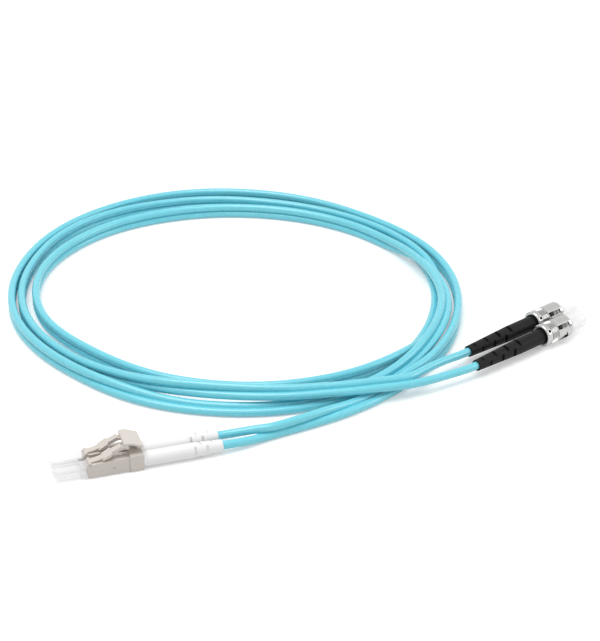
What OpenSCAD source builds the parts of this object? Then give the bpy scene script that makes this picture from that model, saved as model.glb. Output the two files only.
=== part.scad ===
// Duplex fibre patch cord: a pair of small-form plugs at one end, a pair of bayonet
// connectors at the other, and a twin cord in a three-turn coil between them.
// Millimetres. +Z is up and z = 0 is the surface that the cord lies on. The origin is the
// centre of the duplex clip's flat underside, and +X runs from the plugs to their boots.

/* [Cord] */
// Diameter of one strand's jacket
jacket_d = 3; // [2.6:0.1:3.2]
// Distance between the centres of the two strands
strand_pitch = 3.04; // [3.02:0.02:3.3]
// Diameter of the buffered fibre inside a strand
buffer_d = 0.9; // [0.8:0.05:1.1]

/* [Plug pair] */
// Distance between the two plug axes
plug_pitch = 6.25; // [6.2:0.05:6.6]
// Width of a plug's nose
nose_w = 4.5; // [4.3:0.05:4.7]
// Height of a plug's nose
nose_h = 4.9; // [4.7:0.05:5.2]
// Length of a plug's housing ahead of the clip
nose_l = 14.2; // [13.6:0.1:16]
// Extra height of the housing at the clip
nose_swell = 0.5; // [0.3:0.1:0.7]
// Diameter of the socket around the ferrule
plug_socket_d = 3.4; // [3.3:0.1:3.6]
// Length of the socket around the ferrule
plug_socket_l = 5; // [4.5:0.1:5.4]
// Diameter of the small ceramic ferrule
plug_ferrule_d = 1.249; // [1.24:0.001:1.26]
// Length of the small ceramic ferrule
plug_ferrule_l = 6.5; // [6.4:0.1:7]
// How far the ferrule stands out of the nose
plug_ferrule_out = 1.5; // [1.2:0.1:1.8]
// Travel of the sprung ferrule
plug_ferrule_travel = 1.5; // [1:0.1:1.6]
// Length of the clip along the plugs
clip_l = 4.6; // [4.4:0.1:5.2]
// Wall of the clip under the plugs
clip_floor = 0.4; // [0.35:0.05:0.6]
// Wall of the clip over the plugs
clip_roof = 0.8; // [0.7:0.05:1]
// Wall of the clip beside the plugs
clip_side = 0.35; // [0.3:0.05:0.6]
// Width of a latch arm
latch_w = 2.4; // [2.2:0.1:2.6]
// Width of a latch's shoulders
latch_shoulder_w = 4.1; // [3.8:0.1:4.3]
// Thickness of a latch arm
latch_t = 1.2; // [1:0.1:1.4]
// Width of the trigger across both latches
trigger_w = 9.5; // [9.2:0.1:9.8]
// Thickness of the trigger plate
trigger_t = 0.8; // [0.6:0.1:1]
// Diameter of a plug's boot
plug_boot_d = 5.35; // [5.2:0.05:5.6]
// Diameter of the boot at the cord
plug_boot_end_d = 4.2; // [4.1:0.1:4.8]
// Length of a plug's boot
plug_boot_l = 27.6; // [26:0.1:30]
// Width across the flats of a plug's dust cap
plug_cap_w = 4.4; // [4.2:0.05:4.6]
// Length of the dust cap ahead of the nose
plug_cap_l = 11.2; // [10:0.1:13]

/* [Bayonet connectors] */
// Distance between the two connector axes
bayonet_pitch = 9.2; // [9.1:0.1:11]
// How far the far connector lies ahead of the near one
bayonet_stagger = 5.1; // [0:0.1:8]
// Diameter of a coupling nut
nut_d = 8.7; // [8.5:0.1:9]
// Length of a coupling nut
nut_l = 13.5; // [13:0.1:15]
// Diameter of the nut's bore
nut_bore_d = 7.3; // [7.1:0.1:7.5]
// Length of the knurled band around the nut
knurl_l = 3; // [2.4:0.1:4]
// Number of ridges around the knurled band
knurl_n = 44; // [24:1:48]
// Width of the bayonet slot
slot_w = 1.8; // [1.6:0.1:2]
// Width of the slot's neck at the nut's front edge
slot_neck_w = 1; // [0.8:0.1:1.2]
// Travel of the nut against its spring
nut_travel = 2.5; // [2:0.1:2.8]
// Diameter of the large ceramic ferrule
bayonet_ferrule_d = 2.499; // [2.49:0.001:2.51]
// Length of the large ceramic ferrule
bayonet_ferrule_l = 12.5; // [12:0.1:13.5]
// How far the large ferrule stands out of the nut
bayonet_ferrule_out = 3.5; // [3:0.1:4]
// Diameter of a connector's boot at the nut
bayonet_boot_d = 5.8; // [5.7:0.1:6]
// Diameter of the boot at the cord
bayonet_boot_end_d = 4.2; // [4:0.1:4.6]
// Length of the connector's boot
bayonet_boot_l = 34.5; // [33:0.5:38]
// Length of the boot's plain part
bayonet_boot_plain_l = 12.6; // [12:0.1:14]
// Length of the dust cap ahead of the nut
bayonet_cap_l = 9; // [8:0.1:12]

/* [Fits] */
// Gap around a piece that slides or turns
running = 0.05; // [0.02:0.01:0.08]
// Gap around a piece that is clamped or glued
snug = 0.02; // [0.01:0.01:0.04]
// Gap around a moulded piece that is slipped on
loose = 0.1; // [0.05:0.01:0.15]

/* [Hidden] */
$fn = 48;

// ---------- derived sizes of the cord ----------
jacket_r = jacket_d / 2;
half_pitch = strand_pitch / 2;
buffer_r = buffer_d / 2;
strand_sides = 8;

// ---------- derived sizes of the plug pair ----------
NEAR = -1;
FAR = 1;
clip_front = -clip_l / 2;
clip_rear = clip_l / 2;
nose_x = clip_front - nose_l;
plug_z = clip_floor + nose_h / 2;
bevel = 0.3;

// The tail is the part of a housing that stands in the clip
tail_inset = 0.075;
tail_w = nose_w - 2 * tail_inset;
tail_top_drop = 0.2;
tail_bottom = clip_floor + running;
tail_top = clip_floor + nose_h + nose_swell - tail_top_drop;
tail_end = clip_rear - 0.4;
clip_w = plug_pitch + tail_w + 2 * (running + clip_side);
clip_h = tail_top + running + clip_roof;

socket_r = plug_socket_d / 2;
shoulder_x = nose_x + plug_socket_l;
shoulder_t = 0.8;
shoulder_hole_r = 1.05;
small_ferrule_r = plug_ferrule_d / 2;
small_ferrule_x = nose_x - plug_ferrule_out;
small_ferrule_end = small_ferrule_x + plug_ferrule_l;

// The flange carries the ferrule and takes the spring
flange_neck_l = 1.4;
flange_neck_x = small_ferrule_end - flange_neck_l;
flange_x = shoulder_x + shoulder_t + running;
flange_t = 1.6;
flange_r = socket_r - 0.2;
barrel_r = 0.8;
barrel_l = 3.5;
flange_end = flange_x + flange_t;
barrel_end = flange_end + barrel_l;

// The backpost closes the spring chamber and takes the crimp
backpost_x = barrel_end + plug_ferrule_travel + 0.5;
backpost_neck_r = 1.35;
backpost_neck_end = clip_rear + 5.2;
backpost_bore_r = buffer_r + 0.15;
plug_jacket_x = backpost_neck_end + 0.5;
plug_fibre_end = plug_jacket_x - plug_ferrule_travel - 0.5;
small_spring_r = 1.15;
small_spring_wire = 0.35;
small_spring_turns = 5;

crimp_wall = 0.45;
plug_crimp_x = clip_rear + 0.3;
plug_crimp_end = plug_jacket_x + 1.5;
plug_crimp_r = jacket_r + snug + crimp_wall;
plug_boot_r = plug_boot_d / 2;
plug_boot_end_r = plug_boot_end_d / 2;
plug_boot_end = clip_rear + plug_boot_l;
plug_boot_plain_l = plug_boot_l - 10.2;

// A latch turns about its root on the nose
latch_root_r = 0.55;
latch_root_x = nose_x + 1;
latch_root_z = housing_top(latch_root_x);

// The trigger turns about its root on the clip's rear post
trigger_root_r = 0.55;
trigger_post_l = 1.4;
trigger_root_x = clip_rear - trigger_post_l / 2;
trigger_root_z = clip_h + 1.3;
trigger_neck_w = 3.8;

plug_cap_x = nose_x - running;
plug_cap_flange_t = 2.1;
plug_cap_r = 1.7;
plug_cap_reach = flange_neck_x - 0.3;

// ---------- derived sizes of the bayonet connectors ----------
// A connector is drawn along +Z from its rear to its tip, with the nut's front edge at zero
nut_front = [175.7, 35.4];
nut_turn = 22;
nut_r = nut_d / 2;
nut_bore_r = nut_bore_d / 2;
nut_recess = 0.8;
nut_wall = 0.8;
nut_back = -nut_l;
nut_wall_front = nut_back + nut_recess + nut_wall;
knurl_depth = 0.25;
knurl_back = nut_back + 4.1;

tube_r = 2.4;
nut_hole_r = tube_r + loose;
hub_r = 2.1;
hub_l = 1.7;
collar_r = nut_bore_r - 0.25;
collar_t = 1;
washer_t = 0.4;
washer_back = nut_wall_front + running;
large_spring_r = 2.95;
large_spring_wire = 0.5;
large_spring_turns = 4;
large_spring_l = nut_travel + 3;
collar_back = washer_back + washer_t + large_spring_l;
collar_front = collar_back + collar_t;
hub_front = collar_front + hub_l;

large_ferrule_r = bayonet_ferrule_d / 2;
large_ferrule_back = bayonet_ferrule_out - bayonet_ferrule_l;
circlip_t = 0.35;
circlip_r = 3;
circlip_groove = 0.1;
circlip_front = nut_back + nut_recess - 2 * running;
tube_back = circlip_front - circlip_t - 3 * running;
post_r = 2;
post_back = tube_back - 8.7;
bayonet_jacket_x = post_back - 0.6;
bayonet_bore_r = buffer_r + 0.15;
bayonet_crimp_front = tube_back - 1.6;
bayonet_crimp_back = bayonet_jacket_x - 1.9;
bayonet_crimp_r = post_r + snug + crimp_wall;

bayonet_boot_r = bayonet_boot_d / 2;
bayonet_boot_end_r = bayonet_boot_end_d / 2;
bayonet_boot_front = tube_back + 2 * running;
bayonet_boot_back = bayonet_boot_front - bayonet_boot_l;
bayonet_cap_r = nut_bore_r - loose - running;
bayonet_cap_back = hub_front + 0.3;

// ---------- the cord's route ----------
// The coil lies counter-clockwise round its centre. Its stations stand every 30 degrees
// from 300 degrees on, and the list gives the radius of the pair's middle at each.
coil_centre = [64, 107];
coil_start = 300;
station_angle = 30;
COIL_RADII = [
    96, 91, 87.6, 84.6, 87.8, 91.2, 90.2, 86.8, 85.4, 84.8, 88.6, 92.2,
    90.8, 85.8, 77.9, 74.4, 72.8, 73.8, 76.4, 77.4, 75.4, 72.4, 76.2, 81.2,
    84.8, 83, 82.4, 79.8, 79.6, 83.2, 86.4, 83, 81.4, 80.4, 83.4, 91, 100
];
coil_last = 35;
// Where the pair climbs over another turn: [station, half width in stations, height]
COIL_HUMPS = [[13.15, 1.5, 4.2], [35.6, 2.8, 4.4]];
// Where the pair leans from upright: [station, half width in stations, degrees]
COIL_LEANS = [
    [0, 1, 10], [10.7, 1.7, 75], [13.15, 1.6, 55],
    [25.15, 1.4, -76], [27.6, 1.6, -30], [36, 2.4, 65]
];
bump_top = 0.3;
rings_a_station = 2;

// The pair's middle on its way from the plugs to the coil, and from the coil to the
// connectors: [x, y, lift off the floor, angle of the pair's width above the horizontal]
PLUG_LEAD = [
    [48, -0.1, 0, 90], [59, 1.9, 0, 100], [69, 4.4, 0, 125], [79, 7.6, 0, 158],
    [89, 11.4, 0, 166], [100, 16.8, 0, 158]
];
BAYONET_LEAD = [
    [73, 14.6, 4.4, 155], [82, 13.2, 4.4, 155], [91, 12.6, 4.3, 155],
    [98, 12.4, 3.9, 152], [105, 12.8, 3.4, 150]
];
// The single strands between the boots and the two places where the pair parts
PLUG_LEG_NEAR = [[34, -3, 2.7], [39, -2.2, 2.2], [43.6, -1.1, 1.7]];
PLUG_LEG_FAR = [[34, 3, 2.9], [39, 2.2, 3.4], [43.6, 1, 4.2]];
BAYONET_LEG_NEAR = [[127.3, 16, 4.4], [120.4, 14.6, 4.4], [113.5, 13, 4.6]];
BAYONET_LEG_FAR = [[128.4, 26.2, 4.4], [121, 23.4, 4.9], [113.4, 19.4, 5.6]];

// ---------- functions ----------
function housing_top(x) = clip_floor + nose_h + nose_swell * (x - nose_x) / nose_l;
function sum(list, i = 0) = i == len(list) ? 0 : list[i] + sum(list, i + 1);
function flat(lists) = [for (l = lists) for (v = l) v];
function unit(v) = v / norm(v);

// A curve through b and c that leaves b towards c as a and d ask
function between(a, b, c, d, t) =
    (2 * b + (c - a) * t + (2 * a - 5 * b + 4 * c - d) * t * t + (3 * b - a - 3 * c + d) * t * t * t) / 2;
function at(list, i) = list[min(max(i, 0), len(list) - 1)];
function along(list, u) =
    let (i = max(0, min(floor(u), len(list) - 2)))
    between(at(list, i - 1), list[i], list[i + 1], at(list, i + 2), u - i);

// Points on a smooth curve through a list of points, with the given steps between them
function ghost(list) = concat([2 * list[0] - list[1]], list, [2 * list[len(list) - 1] - list[len(list) - 2]]);
function smooth(list, steps) =
    let (g = ghost(list))
    concat(
        [
            for (i = [0:len(list) - 2]) for (k = [0:steps - 1])
                between(g[i], g[i + 1], g[i + 2], g[i + 3], k / steps)
        ],
        [list[len(list) - 1]]
    );

// A soft bump, 1 near its middle and 0 from its half width on
function bump(t) =
    let (s = max(0, (abs(t) - bump_top) / (1 - bump_top)))
    s >= 1 ? 0 : 1 - s * s * (3 - 2 * s);
function bumps(list, u) = sum([for (b = list) b[2] * bump((u - b[0]) / b[1])]);

// The pair's middle at a station of the coil, as [x, y, lift, angle of its width]
function coil_row(u) =
    let (r = along(COIL_RADII, u), a = coil_start + station_angle * u)
    [coil_centre.x + r * cos(a), coil_centre.y + r * sin(a), bumps(COIL_HUMPS, u), 90 + bumps(COIL_LEANS, u)];
COIL_ROWS = [for (k = [0:coil_last * rings_a_station]) coil_row(k / rings_a_station)];
COIL_HEADINGS = [
    for (k = [0:coil_last * rings_a_station])
        let (u = k / rings_a_station, a = coil_row(u - 0.02), b = coil_row(u + 0.02))
        unit([b.x - a.x, b.y - a.y])
];
// A row moved straight on along its heading
function moved(row, heading, d) = [row.x + d * heading.x, row.y + d * heading.y, row[2], row[3]];
coil_end_i = len(COIL_ROWS) - 1;
PLUG_JOIN = moved(COIL_ROWS[0], COIL_HEADINGS[0], -jacket_d);
BAYONET_JOIN = moved(COIL_ROWS[coil_end_i], COIL_HEADINGS[coil_end_i], jacket_d);

// A pair's ring: its middle, the way it runs, its width's and its height's directions
function pair_frame(row, heading) =
    let (
        psi = row[3],
        side = [heading.y, -heading.x, 0],
        w = cos(psi) * side + sin(psi) * [0, 0, 1],
        h = cross([heading.x, heading.y, 0], w),
        z = jacket_r + half_pitch * abs(sin(psi)) + row[2]
    )
    [[row.x, row.y, z], w, h];
function strand_centre(frame, side) = frame[0] + side * half_pitch * frame[1];

// Two six-sided strands side by side, joined by the web between their flats
function hexagon(side, turns) = [for (a = turns) [side * half_pitch + jacket_r * cos(a), jacket_r * sin(a)]];
PAIR_SECTION = concat(hexagon(-1, [30, 90, 150, 210, 270, 330]), hexagon(1, [210, 270, 330, 30, 90, 150]));
PAIR_CAP = [
    [0, 1, 2], [0, 2, 3], [0, 3, 4], [0, 4, 5], [0, 5, 6], [0, 6, 11],
    [6, 7, 8], [6, 8, 9], [6, 9, 10], [6, 10, 11]
];
function pair_ring(frame) = [for (p = PAIR_SECTION) frame[0] + p.x * frame[1] + p.y * frame[2]];

// The headings along a list of rows, with the first and the last one given
function headings(rows, first, last) = [
    for (i = [0:len(rows) - 1])
        i == 0 ? first : i == len(rows) - 1 ? last
        : unit([rows[i + 1].x - rows[i - 1].x, rows[i + 1].y - rows[i - 1].y])
];
function pair_frames(rows, heads) = [for (i = [0:len(rows) - 1]) pair_frame(rows[i], heads[i])];

lead_steps = 2;
PLUG_LEAD_ROWS = smooth(concat(PLUG_LEAD, [PLUG_JOIN]), lead_steps);
PLUG_SPLIT_HEADING = unit([
    PLUG_LEAD_ROWS[1].x - PLUG_LEAD_ROWS[0].x,
    PLUG_LEAD_ROWS[1].y - PLUG_LEAD_ROWS[0].y
]);
PLUG_LEAD_FRAMES = pair_frames(
    PLUG_LEAD_ROWS, headings(PLUG_LEAD_ROWS, PLUG_SPLIT_HEADING, COIL_HEADINGS[0])
);
COIL_FRAMES = pair_frames(
    concat([PLUG_JOIN], COIL_ROWS, [BAYONET_JOIN]),
    concat([COIL_HEADINGS[0]], COIL_HEADINGS, [COIL_HEADINGS[coil_end_i]])
);
BAYONET_LEAD_ROWS = smooth(concat([BAYONET_JOIN], BAYONET_LEAD), lead_steps);
bayonet_lead_i = len(BAYONET_LEAD_ROWS) - 1;
BAYONET_SPLIT_HEADING = unit([
    BAYONET_LEAD_ROWS[bayonet_lead_i].x - BAYONET_LEAD_ROWS[bayonet_lead_i - 1].x,
    BAYONET_LEAD_ROWS[bayonet_lead_i].y - BAYONET_LEAD_ROWS[bayonet_lead_i - 1].y
]);
BAYONET_LEAD_FRAMES = pair_frames(
    BAYONET_LEAD_ROWS, headings(BAYONET_LEAD_ROWS, COIL_HEADINGS[coil_end_i], BAYONET_SPLIT_HEADING)
);

// The least gap between the turns of the coil, measured on points along both strands.
// Points closer than half a turn along the cord are left out.
gap_steps = 4;
function chord(a, b, k) = a + (b - a) * k / gap_steps;
COIL_POINTS = [
    for (side = [-1, 1])
        [
            for (i = [0:len(COIL_FRAMES) - 2]) for (k = [0:gap_steps - 1])
                chord(strand_centre(COIL_FRAMES[i], side), strand_centre(COIL_FRAMES[i + 1], side), k)
        ]
];
half_turn_points = 180 / station_angle * rings_a_station * gap_steps;
COIL_GAPS = [
    for (a = COIL_POINTS) for (b = COIL_POINTS)
        for (i = [0:len(a) - 1]) for (j = [0:len(b) - 1])
            if (j - i > half_turn_points) norm(a[i] - b[j])
];
echo(least_gap_between_turns = min(COIL_GAPS) - jacket_d);

// ---------- shared shapes ----------
// A closed mesh from rings of equal length and the triangles of its first end
module swept(rings, cap) {
    n = len(rings[0]);
    last = (len(rings) - 1) * n;
    sides = [
        for (i = [0:len(rings) - 2]) for (k = [0:n - 1])
            let (a = i * n + k, b = i * n + (k + 1) % n, c = a + n, d = b + n)
            each [[a, d, b], [a, c, d]]
    ];
    far_cap = [for (t = cap) [last + t[2], last + t[1], last + t[0]]];
    polyhedron(points = flat(rings), faces = concat(cap, sides, far_cap));
}

// A fan of triangles that closes a ring of n points
function fan(n) = [for (k = [1:n - 2]) [0, k, k + 1]];

// One strand along its own points, square to the direction given at each end
module strand(points, first, last) {
    n = len(points) - 1;
    rings = [
        for (i = [0:n])
            let (
                t = i == 0 ? unit(first) : i == n ? unit(last) : unit(points[i + 1] - points[i - 1]),
                s = unit(cross(t, [0, 0, 1])),
                h = cross(s, t)
            )
            [for (k = [0:strand_sides - 1])
                let (a = 360 * (k + 0.5) / strand_sides)
                points[i] + jacket_r * (cos(a) * s + sin(a) * h)]
    ];
    swept(rings, fan(strand_sides));
}

// A round-wire compression spring from z = 0 to z = length
module coil_spring(length, r, wire, turns) {
    wire_sides = 6;
    rings_a_turn = 8;
    rise = (length - wire) / turns;
    rings = [
        for (i = [0:turns * rings_a_turn])
            let (a = 360 * i / rings_a_turn, z = wire / 2 + rise * i / rings_a_turn)
            [for (k = [0:wire_sides - 1])
                let (b = 360 * k / wire_sides)
                [(r + wire / 2 * cos(b)) * cos(a), (r + wire / 2 * cos(b)) * sin(a), z + wire / 2 * sin(b)]]
    ];
    swept(rings, fan(wire_sides));
}

// A round bar or bore along +X
module bar(x0, x1, r) {
    translate([x0, 0, 0]) rotate([0, 90, 0]) cylinder(h = x1 - x0, r = r);
}

// A round piece along +X from its half section, given as [x, r] points
module turned(points) {
    rotate([0, 90, 0]) rotate_extrude() polygon([for (p = points) [p[1], p[0]]]);
}

// A flat outline in X and Z, made w wide and centred on Y
module slab(w, points) {
    rotate([90, 0, 0]) linear_extrude(height = w, center = true) polygon(points);
}

// A block along +X with its long edges cut off
module bevelled(x0, x1, w, z0, z1, cut) {
    y = w / 2;
    translate([x0, 0, 0])
        rotate([90, 0, 90])
            linear_extrude(height = x1 - x0)
                polygon([
                    [-y + cut, z0], [y - cut, z0], [y, z0 + cut], [y, z1 - cut],
                    [y - cut, z1], [-y + cut, z1], [-y, z1 - cut], [-y, z0 + cut]
                ]);
}

// Puts a plug's piece, drawn along X on its own axis, in its place beside the other plug
module plug_place(side) {
    translate([0, side * plug_pitch / 2, plug_z]) children();
}

// Puts a connector's piece, drawn along +Z, in its place
module bayonet_place(side) {
    translate([nut_front.x, nut_front.y, nut_r])
        rotate([0, 0, nut_turn])
            translate([side == FAR ? bayonet_stagger : 0, side == FAR ? bayonet_pitch : 0, 0])
                rotate([0, 90, 0])
                    children();
}

// ---------- the plug pair ----------
module plug_housing(side) {
    recess_x = nose_x + 8.7;
    recess_r = 0.55;
    recess_depth = 0.3;
    color("bisque")
        difference() {
            plug_place(side)
                difference() {
                    union() {
                        intersection() {
                            bevelled(nose_x, clip_front, nose_w, clip_floor - plug_z,
                                housing_top(clip_front) - plug_z, bevel);
                            slab(nose_w + 1, [
                                [nose_x, clip_floor - plug_z + bevel], [nose_x + bevel, clip_floor - plug_z],
                                [clip_front, clip_floor - plug_z], [clip_front, housing_top(clip_front) - plug_z],
                                [nose_x + bevel, housing_top(nose_x) - plug_z],
                                [nose_x, housing_top(nose_x) - plug_z - bevel]
                            ]);
                        }
                        bevelled(clip_front - 0.01, tail_end, tail_w,
                            tail_bottom - plug_z, tail_top - plug_z, bevel);
                    }
                    bar(nose_x - 1, shoulder_x, socket_r);
                    bar(shoulder_x - 1, shoulder_x + shoulder_t + 1, shoulder_hole_r);
                    bar(shoulder_x + shoulder_t, tail_end + 1, socket_r);
                    translate([recess_x, side * (nose_w / 2 - recess_depth), 0])
                        rotate([-90 * side, 0, 0]) cylinder(h = 1, r = recess_r);
                }
            // The groove that the latch's root turns in
            translate([latch_root_x, side * plug_pitch / 2, latch_root_z])
                rotate([90, 0, 0]) cylinder(h = nose_w + 1, r = latch_root_r + running, center = true);
        }
}

module plug_latch(side) {
    // Heights of the arm's top above the root: it leaves the nose slowly, then rises steeply
    low_x = 2.3;
    low_top = 0.87;
    bend_x = 4.8;
    bend_top = 1.55;
    shoulder_end = 7.4;
    shoulder_top = 3.06;
    tip_x = 10.9;
    tip_top = 4.58;
    tongue_x = 13.5;
    step = 0.63;
    tongue_slope = 0.02;
    low_t = 0.5;
    bend_t = 0.8;
    shoulder_lead = 0.6;
    tongue_top = tip_top - step;
    tongue_back = tongue_top - tongue_slope * (tongue_x - tip_x);
    arm = [
        [0, 0], [0, latch_root_r], [low_x, low_top], [bend_x, bend_top],
        [shoulder_end, shoulder_top], [tip_x - 0.2, tip_top - 0.1], [tip_x, tip_top - 0.25],
        [tip_x + 0.05, tongue_top], [tongue_x - 0.2, tongue_back + 0.05],
        [tongue_x, tongue_back - 0.2], [tongue_x, tongue_back - 0.75], [tip_x, tip_top - latch_t - 0.25],
        [shoulder_end, shoulder_top - latch_t], [bend_x, bend_top - bend_t], [low_x, low_top - low_t],
        [latch_root_r - 0.05, 0.15]
    ];
    shoulders = [
        [bend_x - shoulder_lead, bend_top - bend_t + 0.1], [bend_x, bend_top],
        [shoulder_end, shoulder_top], [shoulder_end, shoulder_top - latch_t], [bend_x, bend_top - bend_t]
    ];
    color("bisque")
        translate([latch_root_x, side * plug_pitch / 2, latch_root_z]) {
            slab(latch_w, arm);
            slab(latch_shoulder_w, shoulders);
            rotate([90, 0, 0]) cylinder(h = latch_shoulder_w, r = latch_root_r, center = true);
        }
}

module plug_ferrule(side) {
    chamfer = 0.2;
    color("white")
        plug_place(side)
            turned([
                [small_ferrule_x, 0], [small_ferrule_x, small_ferrule_r - chamfer],
                [small_ferrule_x + chamfer, small_ferrule_r],
                [small_ferrule_end, small_ferrule_r], [small_ferrule_end, 0]
            ]);
}

module plug_flange(side) {
    color("silver")
        plug_place(side)
            difference() {
                union() {
                    bar(flange_neck_x, flange_x + 0.01, shoulder_hole_r - running);
                    bar(flange_x, flange_end, flange_r);
                    bar(flange_end - 0.01, barrel_end, barrel_r);
                }
                bar(flange_neck_x - 1, small_ferrule_end, small_ferrule_r + snug);
                bar(small_ferrule_end - 1, barrel_end + 1, buffer_r + snug);
            }
}

module plug_spring(side) {
    color("gainsboro")
        plug_place(side)
            translate([flange_end, 0, 0])
                rotate([0, 90, 0])
                    coil_spring(backpost_x - flange_end, small_spring_r, small_spring_wire, small_spring_turns);
}

module plug_backpost(side) {
    color("silver")
        plug_place(side)
            difference() {
                union() {
                    bar(backpost_x, tail_end, socket_r - snug);
                    bar(tail_end - 0.01, backpost_neck_end, backpost_neck_r);
                }
                bar(backpost_x - 1, backpost_neck_end + 1, backpost_bore_r);
            }
}

module plug_crimp(side) {
    color("goldenrod")
        plug_place(side)
            difference() {
                bar(plug_crimp_x, plug_crimp_end, plug_crimp_r);
                bar(plug_crimp_x - 1, backpost_neck_end + 0.1, backpost_neck_r + snug);
                bar(backpost_neck_end, plug_crimp_end + 1, jacket_r + snug);
            }
}

module plug_fibre(side) {
    color("aquamarine")
        plug_place(side)
            bar(small_ferrule_end, plug_fibre_end, buffer_r);
}

module plug_boot(side) {
    groove_w = 0.8;
    groove_depth = 0.8;
    groove_wall = 0.2;
    groove_turn = 15;
    grooves = [17.5, 19.4, 21.8, 23.4];
    lip_l = 0.6;
    taper_l = plug_boot_l - plug_boot_plain_l;
    function boot_r(l) =
        l < plug_boot_plain_l ? plug_boot_r
        : plug_boot_r + (plug_boot_end_r - plug_boot_r) * (l - plug_boot_plain_l) / taper_l;
    color("white")
        plug_place(side)
            difference() {
                turned([
                    [clip_rear, 0], [clip_rear, plug_boot_r - 0.25], [clip_rear + 0.25, plug_boot_r],
                    [clip_rear + plug_boot_plain_l, plug_boot_r],
                    [plug_boot_end - lip_l, boot_r(plug_boot_l - lip_l)],
                    [plug_boot_end, plug_boot_end_r - 0.15], [plug_boot_end, 0]
                ]);
                bar(clip_rear - 1, plug_crimp_end + 0.2, plug_crimp_r + running);
                bar(plug_crimp_end, plug_boot_end + 1, jacket_r + loose);
                // Cuts from both sides, then from above and below, so that the boot can bend
                for (i = [0:len(grooves) - 1], flip = [0, 180])
                    rotate([90 - groove_turn + (i % 2) * 90 + flip, 0, 0])
                        translate([
                            clip_rear + grooves[i],
                            -plug_boot_r,
                            max(boot_r(grooves[i]) - groove_depth, jacket_r + loose + groove_wall)
                        ])
                            cube([groove_w, 2 * plug_boot_r, plug_boot_r]);
            }
}

module plug_cap(side) {
    tip_round = 0.8;
    wall = 0.7;
    cap_end = plug_cap_x - plug_cap_l;
    color("white", 0.6)
        plug_place(side)
            difference() {
                union() {
                    bevelled(plug_cap_x - plug_cap_flange_t, plug_cap_x, plug_cap_w,
                        -plug_cap_w / 2, plug_cap_w / 2, bevel);
                    turned([
                        [cap_end, 0], [cap_end, plug_cap_r - tip_round], [cap_end + 0.25, plug_cap_r - 0.25],
                        [cap_end + tip_round, plug_cap_r], [plug_cap_x - 1, plug_cap_r], [plug_cap_x - 1, 0]
                    ]);
                    bar(plug_cap_x - 0.01, plug_cap_reach, socket_r - loose);
                }
                bar(cap_end + wall, plug_cap_reach + 1, small_ferrule_r + loose);
            }
}

module duplex_clip() {
    post_w = trigger_neck_w + 0.4;
    color("bisque")
        difference() {
            union() {
                bevelled(clip_front, clip_rear, clip_w, 0, clip_h, 0.4);
                translate([clip_rear - trigger_post_l, -post_w / 2, clip_h - 0.5])
                    cube([trigger_post_l, post_w, trigger_root_z - clip_h + 0.5]);
            }
            for (side = [NEAR, FAR])
                translate([clip_front - 1, side * plug_pitch / 2 - tail_w / 2 - running, clip_floor])
                    cube([clip_l + 2, tail_w + 2 * running, tail_top + running - clip_floor]);
            // The groove that the trigger's root turns in
            translate([trigger_root_x, 0, trigger_root_z])
                rotate([90, 0, 0]) cylinder(h = clip_w, r = trigger_root_r + running, center = true);
        }
}

module clip_trigger() {
    // The plate rises from the root to a flat crown, whose front is a block over both latches
    rear_x = 1;
    rear_top = 1.5;
    front_x = -5.5;
    front_top = 3.15;
    block_x = -4.1;
    block_bottom = 1.65;
    crown = [[-0.4, 1.85], [-2.1, 2.65], [-3.2, 3]];
    lip_t = 0.3;
    lip_y = plug_pitch / 2 + latch_w / 2 + loose;
    lip_bottom = 1.1;
    block = [
        [front_x + 0.4, front_top], [front_x, front_top - 0.3], [front_x + 0.1, block_bottom],
        [block_x, block_bottom], [block_x + 0.3, front_top - trigger_t]
    ];
    plate = concat(
        [[rear_x, rear_top - 0.4], [rear_x - 0.25, rear_top]], crown, block,
        [for (i = [2, 1, 0]) crown[i] - [0, trigger_t]],
        [[rear_x - 0.15, rear_top - trigger_t]]
    );
    neck = [[-0.5, 0], [-0.5, 1.1], [0.5, 1.1], [0.5, 0]];
    color("bisque")
        translate([trigger_root_x, 0, trigger_root_z]) {
            slab(trigger_w, plate);
            // The block reaches over the lips on both sides
            slab(2 * (lip_y + lip_t), concat([crown[2]], block, [crown[2] - [0, trigger_t]]));
            slab(trigger_neck_w, neck);
            rotate([90, 0, 0]) cylinder(h = trigger_neck_w, r = trigger_root_r, center = true);
            // A lip at each end of the block keeps the latches side by side
            for (side = [NEAR, FAR])
                translate([front_x + 0.15, side * (lip_y + lip_t / 2) - lip_t / 2, lip_bottom])
                    cube([block_x - front_x - 0.15, lip_t, front_top - 0.5 - lip_bottom]);
        }
}

// ---------- the bayonet connectors ----------
module ring_cut(z0, z1, w, angle, depth_from, offset = 0) {
    // A cut through the nut's wall on one side, w wide
    rotate([0, 0, angle])
        translate([depth_from, offset - w / 2, z0])
            cube([nut_r, w, z1 - z0]);
}

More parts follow.
